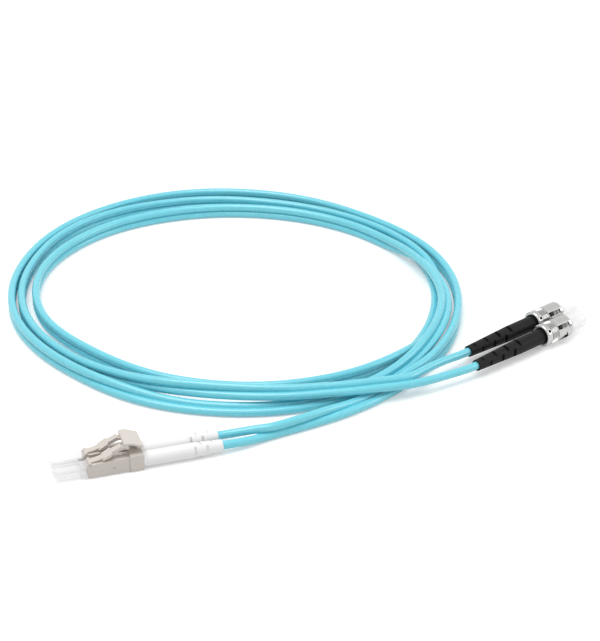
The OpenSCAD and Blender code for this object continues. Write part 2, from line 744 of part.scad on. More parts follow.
module bayonet_nut(side) {
    slot_angle = 206.5;
    slot_back = -6.7;
    slot_front = -1.3;
    neck_offset = 0.7;
    ramp_angle = 85.5;
    edge = 0.35;
    square_hole = 1.2;
    square_hole_z = nut_back + 2;
    knurl_front = knurl_back + knurl_l;
    knurl_core_r = nut_r - knurl_depth - 0.1;
    color("silver")
        bayonet_place(side)
            difference() {
                union() {
                    rotate_extrude()
                        polygon([
                            [0, nut_back], [nut_r - edge, nut_back], [nut_r, nut_back + edge], [nut_r, knurl_back],
                            [knurl_core_r, knurl_back], [knurl_core_r, knurl_front],
                            [nut_r, knurl_front], [nut_r, -edge], [nut_r - edge, 0], [0, 0]
                        ]);
                    translate([0, 0, knurl_back - 0.01])
                        linear_extrude(height = knurl_l + 0.02)
                            polygon([
                                for (k = [0:2 * knurl_n - 1])
                                    let (a = 180 * k / knurl_n, r = nut_r - 0.02 - (k % 2) * knurl_depth)
                                    [r * cos(a), r * sin(a)]
                            ]);
                }
                translate([0, 0, nut_back - 1]) cylinder(h = nut_recess + 1, r = circlip_r + 0.35);
                translate([0, 0, nut_back]) cylinder(h = nut_l, r = nut_hole_r);
                translate([0, 0, nut_wall_front]) cylinder(h = nut_l, r = nut_bore_r);
                for (turn = [0, 180]) {
                    angle = slot_angle + turn;
                    ring_cut(slot_back, slot_front, slot_w, angle, nut_bore_r - 0.3);
                    ring_cut(slot_front - 0.5, 1, slot_neck_w, angle, nut_bore_r - 0.3, neck_offset);
                    // The mouth of the ramp, a notch that narrows away from the front edge
                    rotate([0, 0, angle + ramp_angle])
                        translate([nut_bore_r - 0.3, 0, 0])
                            rotate([90, 0, 90])
                                linear_extrude(height = nut_r)
                                    polygon([[-1.2, 1], [2.2, 1], [2.2, 0], [-1.2, -3.4]]);
                }
                ring_cut(square_hole_z - square_hole / 2, square_hole_z + square_hole / 2, square_hole,
                    slot_angle + 9, nut_bore_r);
            }
}

module bayonet_washer(side) {
    color("gainsboro")
        bayonet_place(side)
            translate([0, 0, washer_back])
                difference() {
                    cylinder(h = washer_t, r = collar_r);
                    translate([0, 0, -1]) cylinder(h = washer_t + 2, r = tube_r + running);
                }
}

module bayonet_spring(side) {
    color("gainsboro")
        bayonet_place(side)
            translate([0, 0, washer_back + washer_t])
                coil_spring(large_spring_l, large_spring_r, large_spring_wire, large_spring_turns);
}

module bayonet_circlip(side) {
    gap_w = 1.6;
    color("dimgray")
        bayonet_place(side)
            translate([0, 0, circlip_front - circlip_t])
                difference() {
                    cylinder(h = circlip_t, r = circlip_r);
                    translate([0, 0, -1]) cylinder(h = circlip_t + 2, r = tube_r - circlip_groove + snug);
                    translate([0, -gap_w / 2, -1]) cube([circlip_r + 1, gap_w, circlip_t + 2]);
                }
}

module bayonet_body(side) {
    key_w = 1;
    key_l = 1;
    groove_back = circlip_front - circlip_t - snug;
    groove_r = tube_r - circlip_groove;
    color("silver")
        bayonet_place(side)
            difference() {
                union() {
                    translate([0, 0, tube_back]) cylinder(h = groove_back - tube_back, r = tube_r);
                    translate([0, 0, tube_back]) cylinder(h = collar_back - tube_back, r = groove_r);
                    translate([0, 0, circlip_front + snug])
                        cylinder(h = collar_back - circlip_front - snug, r = tube_r);
                    translate([0, 0, collar_back]) cylinder(h = collar_t, r = collar_r);
                    translate([0, 0, collar_front - 0.01]) cylinder(h = hub_l + 0.01, r = hub_r);
                    translate([0, 0, post_back]) cylinder(h = tube_back - post_back + 0.01, r = post_r);
                    translate([-collar_r + 0.1, -key_w / 2, collar_front - 0.01])
                        cube([collar_r - 0.1, key_w, key_l]);
                }
                translate([0, 0, large_ferrule_back])
                    cylinder(h = bayonet_ferrule_l, r = large_ferrule_r + snug);
                translate([0, 0, post_back - 1])
                    cylinder(h = large_ferrule_back - post_back + 2, r = bayonet_bore_r);
            }
}

module bayonet_ferrule(side) {
    chamfer = 0.3;
    color("white")
        bayonet_place(side)
            rotate_extrude()
                polygon([
                    [0, large_ferrule_back], [large_ferrule_r, large_ferrule_back],
                    [large_ferrule_r, bayonet_ferrule_out - chamfer],
                    [large_ferrule_r - chamfer, bayonet_ferrule_out], [0, bayonet_ferrule_out]
                ]);
}

module bayonet_fibre(side) {
    fibre_back = bayonet_jacket_x + 0.2;
    color("aquamarine")
        bayonet_place(side)
            translate([0, 0, fibre_back]) cylinder(h = large_ferrule_back - fibre_back, r = buffer_r);
}

module bayonet_crimp(side) {
    step = post_back - 0.2;
    color("silver")
        bayonet_place(side)
            difference() {
                translate([0, 0, bayonet_crimp_back])
                    cylinder(h = bayonet_crimp_front - bayonet_crimp_back, r = bayonet_crimp_r);
                translate([0, 0, step]) cylinder(h = bayonet_crimp_front - step + 1, r = post_r + snug);
                translate([0, 0, bayonet_crimp_back - 1])
                    cylinder(h = step - bayonet_crimp_back + 2, r = jacket_r + snug);
            }
}

module bayonet_boot(side) {
    groove_n = 7;
    groove_w = 1.3;
    groove_depth = 0.9;
    groove_wall = 0.2;
    groove_turn = 10;
    first_groove = 0.5;
    end_l = 3.1;
    taper_l = bayonet_boot_l - bayonet_boot_plain_l;
    groove_step = (taper_l - first_groove - end_l) / (groove_n - 1);
    function boot_r(l) =
        l < bayonet_boot_plain_l ? bayonet_boot_r
        : bayonet_boot_r + (bayonet_boot_end_r - bayonet_boot_r) * (l - bayonet_boot_plain_l) / taper_l;
    color("dimgray")
        bayonet_place(side)
            difference() {
                rotate_extrude()
                    polygon([
                        [0, bayonet_boot_front], [bayonet_boot_r - 0.2, bayonet_boot_front],
                        [bayonet_boot_r, bayonet_boot_front - 0.2],
                        [bayonet_boot_r, bayonet_boot_front - bayonet_boot_plain_l],
                        [bayonet_boot_end_r, bayonet_boot_back + 0.2],
                        [bayonet_boot_end_r - 0.2, bayonet_boot_back], [0, bayonet_boot_back]
                    ]);
                translate([0, 0, bayonet_boot_back - 1])
                    cylinder(h = bayonet_boot_l + 2, r = jacket_r + loose);
                translate([0, 0, bayonet_crimp_back - 0.2])
                    cylinder(h = bayonet_boot_l, r = bayonet_crimp_r + running);
                // Cuts from two sides, then from the other two, so that the boot can bend
                for (i = [0:groove_n - 1], flip = [0, 180]) {
                    l = bayonet_boot_plain_l + first_groove + i * groove_step;
                    rotate([0, 0, 180 + groove_turn + (i % 2) * 90 + flip])
                        translate([
                            max(boot_r(l) - groove_depth, jacket_r + loose + groove_wall),
                            -bayonet_boot_r,
                            bayonet_boot_front - l - groove_w
                        ])
                            cube([bayonet_boot_r, 2 * bayonet_boot_r, groove_w]);
                }
            }
}

module bayonet_cap(side) {
    // A wide cap ahead of the nut and a narrow sleeve that holds on to the ferrule inside it
    tip_round = 1.2;
    sleeve_wall = 0.6;
    face_gap = 0.2;
    bore_end = bayonet_ferrule_out + 0.5;
    sleeve_r = large_ferrule_r + running + sleeve_wall;
    color("white", 0.6)
        bayonet_place(side)
            difference() {
                rotate_extrude()
                    polygon([
                        [0, bayonet_cap_back], [sleeve_r, bayonet_cap_back], [sleeve_r, face_gap],
                        [bayonet_cap_r, face_gap], [bayonet_cap_r, bayonet_cap_l - tip_round],
                        [bayonet_cap_r - 0.35, bayonet_cap_l - 0.35],
                        [bayonet_cap_r - tip_round, bayonet_cap_l], [0, bayonet_cap_l]
                    ]);
                translate([0, 0, bayonet_cap_back - 1])
                    cylinder(h = bore_end - bayonet_cap_back + 1, r = large_ferrule_r + running);
            }
}

// ---------- the cord ----------
jacket_color = "mediumturquoise";

module twin_coil() {
    color(jacket_color) swept([for (f = COIL_FRAMES) pair_ring(f)], PAIR_CAP);
}

module plug_lead() {
    color(jacket_color) swept([for (f = PLUG_LEAD_FRAMES) pair_ring(f)], PAIR_CAP);
}

module bayonet_lead() {
    color(jacket_color) swept([for (f = BAYONET_LEAD_FRAMES) pair_ring(f)], PAIR_CAP);
}

module plug_leg(side) {
    inside = [plug_jacket_x, side * plug_pitch / 2, plug_z];
    outside = [plug_boot_end, side * plug_pitch / 2, plug_z];
    knots = side == NEAR ? PLUG_LEG_NEAR : PLUG_LEG_FAR;
    split = strand_centre(PLUG_LEAD_FRAMES[0], side);
    color(jacket_color)
        strand(concat([inside], smooth(concat([outside], knots, [split]), 1)), [1, 0, 0],
            [PLUG_SPLIT_HEADING.x, PLUG_SPLIT_HEADING.y, 0]);
}

module bayonet_leg(side) {
    forward = [cos(nut_turn), sin(nut_turn), 0];
    across = [-sin(nut_turn), cos(nut_turn), 0];
    front = [nut_front.x, nut_front.y, nut_r]
        + (side == FAR ? bayonet_stagger * forward + bayonet_pitch * across : [0, 0, 0]);
    knots = side == NEAR ? BAYONET_LEG_NEAR : BAYONET_LEG_FAR;
    split = strand_centre(BAYONET_LEAD_FRAMES[bayonet_lead_i], side);
    color(jacket_color)
        strand(
            concat([front + bayonet_jacket_x * forward], [front + bayonet_boot_back * forward], knots, [split]),
            -forward, -[BAYONET_SPLIT_HEADING.x, BAYONET_SPLIT_HEADING.y, 0]);
}

plug_housing(NEAR);  // plug_housing_near
plug_housing(FAR);  // plug_housing_far
plug_latch(NEAR);  // plug_latch_near
plug_latch(FAR);  // plug_latch_far
plug_ferrule(NEAR);  // plug_ferrule_near
plug_ferrule(FAR);  // plug_ferrule_far
plug_flange(NEAR);  // plug_flange_near
plug_flange(FAR);  // plug_flange_far
plug_spring(NEAR);  // plug_spring_near
plug_spring(FAR);  // plug_spring_far
plug_backpost(NEAR);  // plug_backpost_near
plug_backpost(FAR);  // plug_backpost_far
plug_crimp(NEAR);  // plug_crimp_near
plug_crimp(FAR);  // plug_crimp_far
plug_fibre(NEAR);  // plug_fibre_near
plug_fibre(FAR);  // plug_fibre_far
plug_boot(NEAR);  // plug_boot_near
plug_boot(FAR);  // plug_boot_far
plug_cap(NEAR);  // plug_cap_near
plug_cap(FAR);  // plug_cap_far
duplex_clip();
clip_trigger();
bayonet_nut(NEAR);  // bayonet_nut_near
bayonet_nut(FAR);  // bayonet_nut_far
bayonet_body(NEAR);  // bayonet_body_near
bayonet_body(FAR);  // bayonet_body_far
bayonet_ferrule(NEAR);  // bayonet_ferrule_near
bayonet_ferrule(FAR);  // bayonet_ferrule_far
bayonet_spring(NEAR);  // bayonet_spring_near
bayonet_spring(FAR);  // bayonet_spring_far
bayonet_washer(NEAR);  // bayonet_washer_near
bayonet_washer(FAR);  // bayonet_washer_far
bayonet_circlip(NEAR);  // bayonet_circlip_near
bayonet_circlip(FAR);  // bayonet_circlip_far
bayonet_crimp(NEAR);  // bayonet_crimp_near
bayonet_crimp(FAR);  // bayonet_crimp_far
bayonet_fibre(NEAR);  // bayonet_fibre_near
bayonet_fibre(FAR);  // bayonet_fibre_far
bayonet_boot(NEAR);  // bayonet_boot_near
bayonet_boot(FAR);  // bayonet_boot_far
bayonet_cap(NEAR);  // bayonet_cap_near
bayonet_cap(FAR);  // bayonet_cap_far
twin_coil();
plug_lead();
bayonet_lead();
plug_leg(NEAR);  // plug_leg_near
plug_leg(FAR);  // plug_leg_far
bayonet_leg(NEAR);  // bayonet_leg_near
bayonet_leg(FAR);  // bayonet_leg_far
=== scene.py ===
"""A duplex fiber optic patch cord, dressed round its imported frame.

Two small-form plugs in a duplex clip, a coil of twin-strand cord and two bayonet
connectors. Each sub-assembly is a class that holds its sizes in millimetres; finished
meshes are in metres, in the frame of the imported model.
"""

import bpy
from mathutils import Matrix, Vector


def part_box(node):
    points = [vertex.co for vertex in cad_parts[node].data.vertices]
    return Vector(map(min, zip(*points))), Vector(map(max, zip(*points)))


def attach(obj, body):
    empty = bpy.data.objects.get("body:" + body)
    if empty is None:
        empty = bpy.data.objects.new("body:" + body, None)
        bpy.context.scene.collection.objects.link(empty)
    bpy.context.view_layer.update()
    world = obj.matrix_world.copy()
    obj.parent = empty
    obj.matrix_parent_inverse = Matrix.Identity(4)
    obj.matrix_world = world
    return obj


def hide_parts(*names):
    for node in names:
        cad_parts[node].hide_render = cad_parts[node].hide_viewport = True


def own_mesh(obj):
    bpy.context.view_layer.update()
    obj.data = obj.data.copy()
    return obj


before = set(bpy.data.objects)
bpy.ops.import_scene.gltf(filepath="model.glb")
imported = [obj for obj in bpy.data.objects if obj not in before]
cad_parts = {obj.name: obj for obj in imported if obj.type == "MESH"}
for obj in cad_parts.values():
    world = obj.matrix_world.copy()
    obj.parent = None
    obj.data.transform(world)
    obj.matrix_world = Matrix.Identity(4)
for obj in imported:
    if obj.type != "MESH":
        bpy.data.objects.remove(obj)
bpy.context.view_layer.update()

import logging
import math
from abc import ABC, abstractmethod
from contextlib import contextmanager
from dataclasses import dataclass
from enum import Enum
from typing import Any, Callable, Iterable, Iterator, Sequence

import bmesh
import bpy
import numpy as np
from mathutils import Matrix, Vector

MM = 0.001
WHITE = (1.0, 1.0, 1.0, 1.0)
TONE_DETAIL = 3.0
GRAIN_DETAIL = 4.0
LOG = logging.getLogger("patch_cord")
Rgb = tuple[float, float, float]
Pair = tuple[float, float]
Spot = tuple[float, float, float]
Rows = tuple[tuple[float, ...], ...]
Mesh = bpy.types.Mesh
Obj = bpy.types.Object


class Side(Enum):
    """The two channels; the near one is closer to the viewer."""

    NEAR = -1
    FAR = 1

    @property
    def label(self) -> str:
        """The ending of this channel's node names."""
        return self.name.lower()

    def named(self, stem: str) -> str:
        """A node's or body's name on this side."""
        return f"{stem}_{self.label}"


def set_all(target: Any, **values: Any) -> Any:
    """The same thing, with its properties set in their order."""
    for name, value in values.items():
        setattr(target, name, value)
    return target


# ---------- node trees ----------


def _operator(operation: str, swapped: bool = False) -> Callable[["Wire", Any], "Wire"]:
    """An operator that adds one Math node.

    Args:
        operation: The node's operation.
        swapped: Whether its two values change places.

    Returns:
        The operator's method.
    """

    def method(wire: "Wire", other: Any) -> "Wire":
        """The node's output."""
        return wire.tree.math(operation, *((other, wire) if swapped else (wire, other)))

    return method


class Wire:
    """A node's output socket that takes part in Python expressions on numbers."""

    def __init__(self, tree: "Tree", socket: bpy.types.NodeSocket) -> None:
        """Wraps an output socket of a tree."""
        self.tree = tree
        self.socket = socket

    __add__ = _operator("ADD")
    __sub__ = _operator("SUBTRACT")
    __rsub__ = _operator("SUBTRACT", swapped=True)
    __mul__ = _operator("MULTIPLY")
    __truediv__ = _operator("DIVIDE")
    __gt__ = _operator("GREATER_THAN")
    __lt__ = _operator("LESS_THAN")

    def apply(self, operation: str, *others: Any) -> "Wire":
        """Any other Math operation, by its name."""
        return self.tree.math(operation, self, *others)


class Tree:
    """A shader or geometry node tree, built by one node-making method."""

    def __init__(self, nodes: bpy.types.NodeTree) -> None:
        """Takes a tree to fill, and clears what it holds."""
        self.nodes = nodes
        nodes.nodes.clear()

    @classmethod
    def of(cls, owner: Any) -> "Tree":
        """The tree of a material or a world."""
        owner.use_nodes = True
        return cls(owner.node_tree)

    def node(
        self, kind: str, inputs: dict[Any, Any] | None = None, output: Any = 0, **settings: Any
    ) -> Wire:
        """Adds one node.

        Args:
            kind: The node's type.
            inputs: The values or wires of its sockets, by name or number.
            output: The name or number of the output wanted.
            settings: Its properties, set before its sockets.

        Returns:
            The wanted output; it is empty for a node that ends the tree.
        """
        made = set_all(self.nodes.nodes.new(kind), **settings)
        for name, value in (inputs or {}).items():
            if isinstance(value, Wire):
                self.nodes.links.new(value.socket, made.inputs[name])
            else:
                made.inputs[name].default_value = value
        return Wire(self, made.outputs[output] if len(made.outputs) else None)

    def split(self, kind: str, names: Iterable[str], **inputs: Any) -> list[Wire]:
        """Adds one node, and returns its outputs of the given names."""
        outputs = self.node(kind, inputs).socket.node.outputs
        return [Wire(self, outputs[name]) for name in names]

    def math(self, operation: str, *values: Any) -> Wire:
        """A Math node on the given values."""
        return self.node("ShaderNodeMath", dict(enumerate(values)), operation=operation)

    def mixed(self, share: Any, low: Any, high: Any) -> Wire:
        """A colour between two, by a share from 0 to 1."""
        return self.node("ShaderNodeMix", {0: share, 6: low, 7: high}, 2, data_type="RGBA")

    def noise(self, place: Wire, size: float, detail: float) -> Wire:
        """Noise about 0.5, of a size in the place's unit."""
        inputs = {"Vector": place, "Scale": 1 / size, "Detail": detail}
        return self.node("ShaderNodeTexNoise", inputs)

    def scaled(self, place: Wire, factors: Sequence[float]) -> Wire:
        """A place stretched along each of its axes."""
        return self.node("ShaderNodeMapping", {"Vector": place, "Scale": factors})


def lit(red: int, green: int, blue: int) -> Rgb:
    """A screen colour, 0 to 255, as linear light."""
    parts = (part / 255 for part in (red, green, blue))
    return tuple(c / 12.92 if c <= 0.04045 else ((c + 0.055) / 1.055) ** 2.4 for c in parts)


def shade(color: Rgb, factor: float) -> tuple[float, float, float, float]:
    """A colour made lighter or darker, as a socket takes it."""
    return (*(min(1.0, c * factor) for c in color), 1.0)


# ---------- finishes ----------


class Pattern(Enum):
    """What a finish's detail follows, and how that is scaled for its tone and its grain."""

    MOULDED = ("Object", (1 / MM,) * 3, (1 / MM,) * 3)
    DRAWN = ("UV", (0.2 / MM, 6.0, 1.0), (0.12 / MM, 9.4, 1.0))
    LATHED = ("UV", (6.0, 1.0 / MM, 1.0), (2.0, 1.0 / MM, 1.0))


@dataclass(frozen=True)
class Finish:
    """A procedural surface: its colour, its gloss, and the fine detail of how it was made.

    Sizes of detail are in millimetres; depth is how deep the detail stands. A turned piece gets
    painted shade, dark and dull, from painted_shade_from on along its outline; at zero it has
    no painted shade.
    """

    name: str
    slot: str
    color: Rgb
    roughness: float
    pattern: Pattern = Pattern.MOULDED
    metallic: float = 0.0
    tone: float = 0.05
    tone_size: float = 3.0
    grain_size: float = 0.05
    grain_depth: float = 0.001
    rough_spread: float = 0.08
    specular: float = 0.5
    alpha: float = 1.0
    # Painted shade in a bore and in cuts: where it starts along the outline, and how dark it is
    painted_shade_from: float = 0.0
    painted_shade_factor: float = 0.02

    def material(self) -> bpy.types.Material:
        """Builds the material once.

        Returns:
            The material, the same one from then on.
        """
        made = bpy.data.materials.get(self.name)
        if made is not None:
            return made
        made = bpy.data.materials.new(self.name)
        tree = Tree.of(made)
        followed, broad, fine = self.pattern.value
        place = tree.node("ShaderNodeTexCoord", output=followed)
        tone = tree.noise(tree.scaled(place, broad), self.tone_size, TONE_DETAIL)
        grain = tree.noise(tree.scaled(place, fine), self.grain_size, GRAIN_DETAIL)
        low, high = (shade(self.color, 1 + sign * self.tone) for sign in (-1, 1))
        color = tree.mixed(tone, low, high)
        metallic: float | Wire = self.metallic
        # Painted shade: past this place along the outline, in a bore and on the walls of cuts, the
        # colour goes near black and the metal goes dull
        if self.painted_shade_from:
            along = tree.node("ShaderNodeSeparateXYZ", {0: place}, "Y")
            inside = along > self.painted_shade_from * MM
            color = tree.mixed(inside, color, shade(self.color, self.painted_shade_factor))
            metallic = (1 - inside) * self.metallic
        spread = (grain - 0.5) * (2 * self.rough_spread) + (tone - 0.5) * self.rough_spread
        bump = {"Strength": 1.0, "Distance": self.grain_depth * MM, "Height": grain}
        inputs = {
            "Base Color": color, "Metallic": metallic, "Roughness": spread + self.roughness,
            "Specular IOR Level": self.specular, "Alpha": self.alpha,
            "Normal": tree.node("ShaderNodeBump", bump),
        }
        shader = tree.node("ShaderNodeBsdfPrincipled", inputs)
        tree.node("ShaderNodeOutputMaterial", {"Surface": shader})
        return made


JACKET = Finish(
    "aqua_jacket", "jacket", lit(112, 211, 227), 0.27, Pattern.DRAWN,
    tone_size=1.6, grain_size=0.5, grain_depth=0.01, rough_spread=0.06, specular=0.8,
)
BEIGE = Finish(
    "beige_moulding", "beige_plastic", lit(212, 205, 197), 0.42,
    tone=0.025, tone_size=2.2, grain_size=0.07, grain_depth=0.0025,
)
WHITE_BOOT = Finish(
    "white_elastomer", "white_boot", lit(240, 240, 240), 0.45,
    tone=0.012, grain_size=0.09, grain_depth=0.003,
)
BLACK_BOOT = Finish(
    "black_rubber", "black_boot", lit(14, 14, 15), 0.58,
    tone=0.12, tone_size=1.5, grain_size=0.08, grain_depth=0.006, rough_spread=0.1, specular=0.22,
)
CLEAR_CAP = Finish(
    "clear_moulding", "cap_plastic", lit(252, 252, 252), 0.3,
    tone=0.003, grain_size=0.3, rough_spread=0.03, alpha=0.42,
)
# The nut's bore and the walls of its cuts carry painted shade, from 15.2 mm along its outline
NICKEL = Finish(
    "bright_nickel", "nickel", lit(192, 192, 191), 0.26, Pattern.LATHED, metallic=1.0,
    tone=0.1, tone_size=1.2, grain_size=0.06, grain_depth=0.0012, rough_spread=0.07, painted_shade_from=15.2,
)
# Painted shade: darker than plated metal is, for the parts inside the connectors
PLATED = Finish("plated_part", "nickel", lit(92, 91, 89), 0.42, metallic=1.0, tone=0.03)
ZIRCONIA = Finish(
    "polished_zirconia", "ceramic", lit(244, 244, 239), 0.12,
    tone=0.008, grain_depth=0.0004, rough_spread=0.03,
)
# Painted shade: the bayonet body inside the nut is near black so the nut's slots read as shaded
# openings
PAINTED_SHADE_BODY = Finish("painted_shade_body", "body_in_shade", lit(30, 30, 30), 0.5, specular=0.25)
# Painted shade: darker than drawn steel wire is, for the springs and clips inside the connectors
WIRE_STEEL = Finish("drawn_wire", "spring_steel", lit(64, 64, 64), 0.45, metallic=1.0)
GILT = Finish(
    "crimp_brass", "gilt_brass", lit(214, 182, 118), 0.32, metallic=1.0,
    grain_size=0.08, grain_depth=0.002,
)
BUFFER = Finish(
    "tight_buffer", "buffer", lit(102, 204, 208), 0.4,
    tone=0.03, grain_size=0.1, grain_depth=0.004,
)


# ---------- meshes ----------


@contextmanager
def editing(mesh: Mesh) -> Iterator[bmesh.types.BMesh]:
    """Lends a mesh's editable form, and writes it back at the end.

    Args:
        mesh: The mesh to edit.

    Yields:
        Its editable form.
    """
    shape = bmesh.new()
    shape.from_mesh(mesh)
    yield shape
    shape.to_mesh(mesh)
    shape.free()


def outward(mesh: Mesh) -> Mesh:
    """The same mesh, with its faces turned outward."""
    with editing(mesh) as shape:
        bmesh.ops.recalc_face_normals(shape, faces=shape.faces)
    return mesh


def smooth_by_angle(obj: Obj, angle: float = 40.0) -> None:
    """Shades an object smooth, but for its sharper edges.

    Args:
        obj: The object.
        angle: The least angle of a sharp edge, in degrees.
    """
    with editing(obj.data) as shape:
        for face in shape.faces:
            face.smooth = True
        for edge in shape.edges:
            open_edge = len(edge.link_faces) != 2
            edge.smooth = open_edge or edge.calc_face_angle(0.0) < math.radians(angle)


def shaded_smooth(mesh: Mesh) -> Mesh:
    """The same mesh, with all its faces shaded smooth."""
    mesh.polygons.foreach_set("use_smooth", [True] * len(mesh.polygons))
    return mesh


def meshed(name: str, points: Iterable[Sequence[float]], faces: Iterable[Sequence[int]]) -> Mesh:
    """A mesh of points and faces."""
    mesh = bpy.data.meshes.new(name)
    mesh.from_pydata(points, [], faces)
    return mesh


def run(points: np.ndarray) -> np.ndarray:
    """How far along a line each of its points lies."""
    return np.concatenate([[0.0], np.cumsum(np.linalg.norm(np.diff(points, axis=0), axis=1))])


def grid_mesh(name: str, rings: np.ndarray, along: np.ndarray, closed: bool) -> Mesh:
    """A mesh from rings of points, each ring closed on itself.

    Args:
        name: Its name.
        rings: Points as (ring, place on the ring, xyz), in metres.
        along: Each ring's place along the surface.
        closed: Whether the last ring joins the first; otherwise both ends get a cap.

    Returns:
        The mesh, its UV map's u along the rings and v round each.
    """
    count, sides = rings.shape[:2]
    points = [tuple(p) for p in rings.reshape(-1, 3)]
    faces, places = [], []
    for i in range(count if closed else count - 1):
        j = (i + 1) % count
        u0, u1 = along[i], along[j] if j else along[-1] + (along[-1] - along[-2])
        for k in range(sides):
            m = (k + 1) % sides
            v0, v1 = k / sides, (k + 1) / sides
            faces.append((i * sides + k, i * sides + m, j * sides + m, j * sides + k))
            places += [(u0, v0), (u0, v1), (u1, v1), (u1, v0)]
    if not closed:
        for ring, order in ((0, -1), (count - 1, 1)):
            hub = len(points)
            points.append(tuple(rings[ring].mean(axis=0)))
            for k in range(sides):
                rim = [ring * sides + k, ring * sides + (k + 1) % sides]
                faces.append((hub, *rim[::order]))
                places += [(along[ring], k / sides)] * 3
    mesh = meshed(name, points, faces)
    layer = mesh.uv_layers.new(name="surface")
    layer.data.foreach_set("uv", np.array(places, np.float32).ravel())
    return mesh


def softened(points: Sequence[Pair], cut: float, steps: int = 3) -> list[Pair]:
    """A closed outline with each corner rounded.

    Args:
        points: The outline's corners.
        cut: How far back along its edges a corner is rounded, short of half an edge.
        steps: How many short edges a corner gets.

    Returns:
        The rounded outline.
    """
    most = 0.45
    made: list[Pair] = []
    for i, corner in enumerate(points):
        here = np.array(corner, float)
        arms = [np.array(points[k % len(points)], float) - here for k in (i - 1, i + 1)]
        lengths = [np.linalg.norm(arm) for arm in arms]
        reach = min(cut, *(most * length for length in lengths))
        a, b = (here + arm / length * reach for arm, length in zip(arms, lengths))
        for t in np.linspace(0, 1, steps + 1):
            made.append(tuple((1 - t) ** 2 * a + 2 * t * (1 - t) * here + t * t * b))
    return made


def bent(points: Sequence[Pair], cut: float, steps: int = 3, spare: int = 0) -> list[Pair]:
    """The rounded inner corners of an open line, and some spare points of both end corners."""
    skipped = steps + 1 - spare
    return softened(points, cut, steps)[skipped:-skipped]


def oblong(back: float, front: float, low: float, high: float) -> list[Pair]:
    """The corners of a rectangle."""
    return [(back, low), (front, low), (front, high), (back, high)]


def lathed(name: str, outline: Sequence[Pair], segments: int = 72) -> Mesh:
    """A turned mesh about +Z.

    Args:
        name: Its name.
        outline: Radius and height of each point, in millimetres; it closes on itself.
        segments: How many facets go round.

    Returns:
        The mesh, in metres, with u round the axis.
    """
    angles = np.arange(segments) * (2 * math.pi / segments)
    flat = np.array(outline, float)
    radius = flat[:, None, 0]
    height = np.repeat(flat[:, None, 1], segments, axis=1)
    rings = np.stack([radius * np.cos(angles), radius * np.sin(angles), height], axis=2)
    mesh = grid_mesh(name, rings * MM, run(flat) * MM, closed=True)
    for loop in mesh.uv_layers[0].data:
        loop.uv = (loop.uv[1], loop.uv[0])
    return outward(mesh)


def prism(name: str, outline: Sequence[Pair], low: float, high: float) -> Mesh:
    """A bar of a given outline along +Z.

    Args:
        name: Its name.
        outline: Its corners, in millimetres.
        low: Where it starts.
        high: Where it ends.

    Returns:
        The mesh, in metres.
    """
    count = len(outline)
    points = [(x * MM, y * MM, z * MM) for z in (low, high) for x, y in outline]
    faces = [(k, (k + 1) % count, count + (k + 1) % count, count + k) for k in range(count)]
    faces += [tuple(range(count))[::-1], tuple(range(count, 2 * count))]
    return outward(meshed(name, points, faces))


def placed(name: str, content: Any) -> Obj:
    """An object at the origin that holds a mesh, a lamp or a camera."""
    made = bpy.data.objects.new(name, content)
    bpy.context.scene.collection.objects.link(made)
    return made


def baked(obj: Obj) -> Obj:
    """Makes an object's modifiers part of its mesh.

    Args:
        obj: The object.

    Returns:
        The same object.
    """
    graph = bpy.context.evaluated_depsgraph_get()
    graph.update()
    mesh = bpy.data.meshes.new_from_object(
        obj.evaluated_get(graph), preserve_all_data_layers=True, depsgraph=graph
    )
    obj.modifiers.clear()
    obj.data = mesh
    return obj


def edged(obj: Obj, width: float, segments: int = 2, angle: float = 32.0) -> Obj:
    """Rounds an object's sharp edges and evens its shading.

    Args:
        obj: The object, whose modifiers become part of its mesh.
        width: How wide a rounded edge is, in millimetres.
        segments: How many facets it has.
        angle: The least angle that counts as an edge, in degrees.

    Returns:
        The same object.
    """
    set_all(
        obj.modifiers.new("edges", "BEVEL"), width=width * MM, segments=segments,
        limit_method="ANGLE", angle_limit=math.radians(angle), miter_outer="MITER_ARC",
    )
    shaded_smooth(obj.data)
    set_all(obj.modifiers.new("even", "WEIGHTED_NORMAL"), keep_sharp=True, weight=100)
    return baked(obj)


def cut_by(obj: Obj, cutters: Iterable[Mesh]) -> None:
    """Takes the cutters out of an object.

    Args:
        obj: The object.
        cutters: Their meshes, in the object's own frame.
    """
    tools = [placed("cutter", mesh) for mesh in cutters]
    for tool in tools:
        step = obj.modifiers.new("cut", "BOOLEAN")
        set_all(step, operation="DIFFERENCE", solver="EXACT", object=tool)
    baked(obj)
    for tool in tools:
        bpy.data.objects.remove(tool)


def dressed(obj: Obj, finish: Finish, body: str, nodes: Sequence[str], place: Matrix) -> None:
    """Finishes a piece: its place, its surface, its body and what it stands for.

    Args:
        obj: The piece.
        finish: Its surface.
        body: The body that it rides on.
        nodes: The solids that it stands for.
        place: Where its mesh goes.
    """
    obj.data.transform(place)
    obj.data.materials.clear()
    obj.data.materials.append(finish.material())
    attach(obj, body)
    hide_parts(*nodes)
    LOG.info("%s: %d faces, on %s", obj.name, len(obj.data.polygons), body)


def rounded_solid(
    node: str, name: str, finish: Finish, body: str, width: float, segments: int = 2
) -> None:
    """A piece that is a clean copy of a solid of the frame, with its edges rounded.

    Args:
        node: The solid, whose flat faces are made whole again.
        name: The piece's name.
        finish: Its surface.
        body: The body that it rides on.
        width: How wide a rounded edge is, in millimetres.
        segments: How many facets it has.
    """
    weld, flat = 0.002 * MM, math.radians(0.8)
    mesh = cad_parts[node].data.copy()
    mesh.name = name
    with editing(mesh) as shape:
        bmesh.ops.remove_doubles(shape, verts=shape.verts, dist=weld)
        bmesh.ops.dissolve_limit(
            shape, angle_limit=flat, verts=shape.verts, edges=shape.edges,
            use_dissolve_boundaries=False,
        )
    obj = edged(placed(name, mesh), width, segments)
    dressed(obj, finish, body, [node], Matrix())


# ---------- shapes that follow a rule ----------


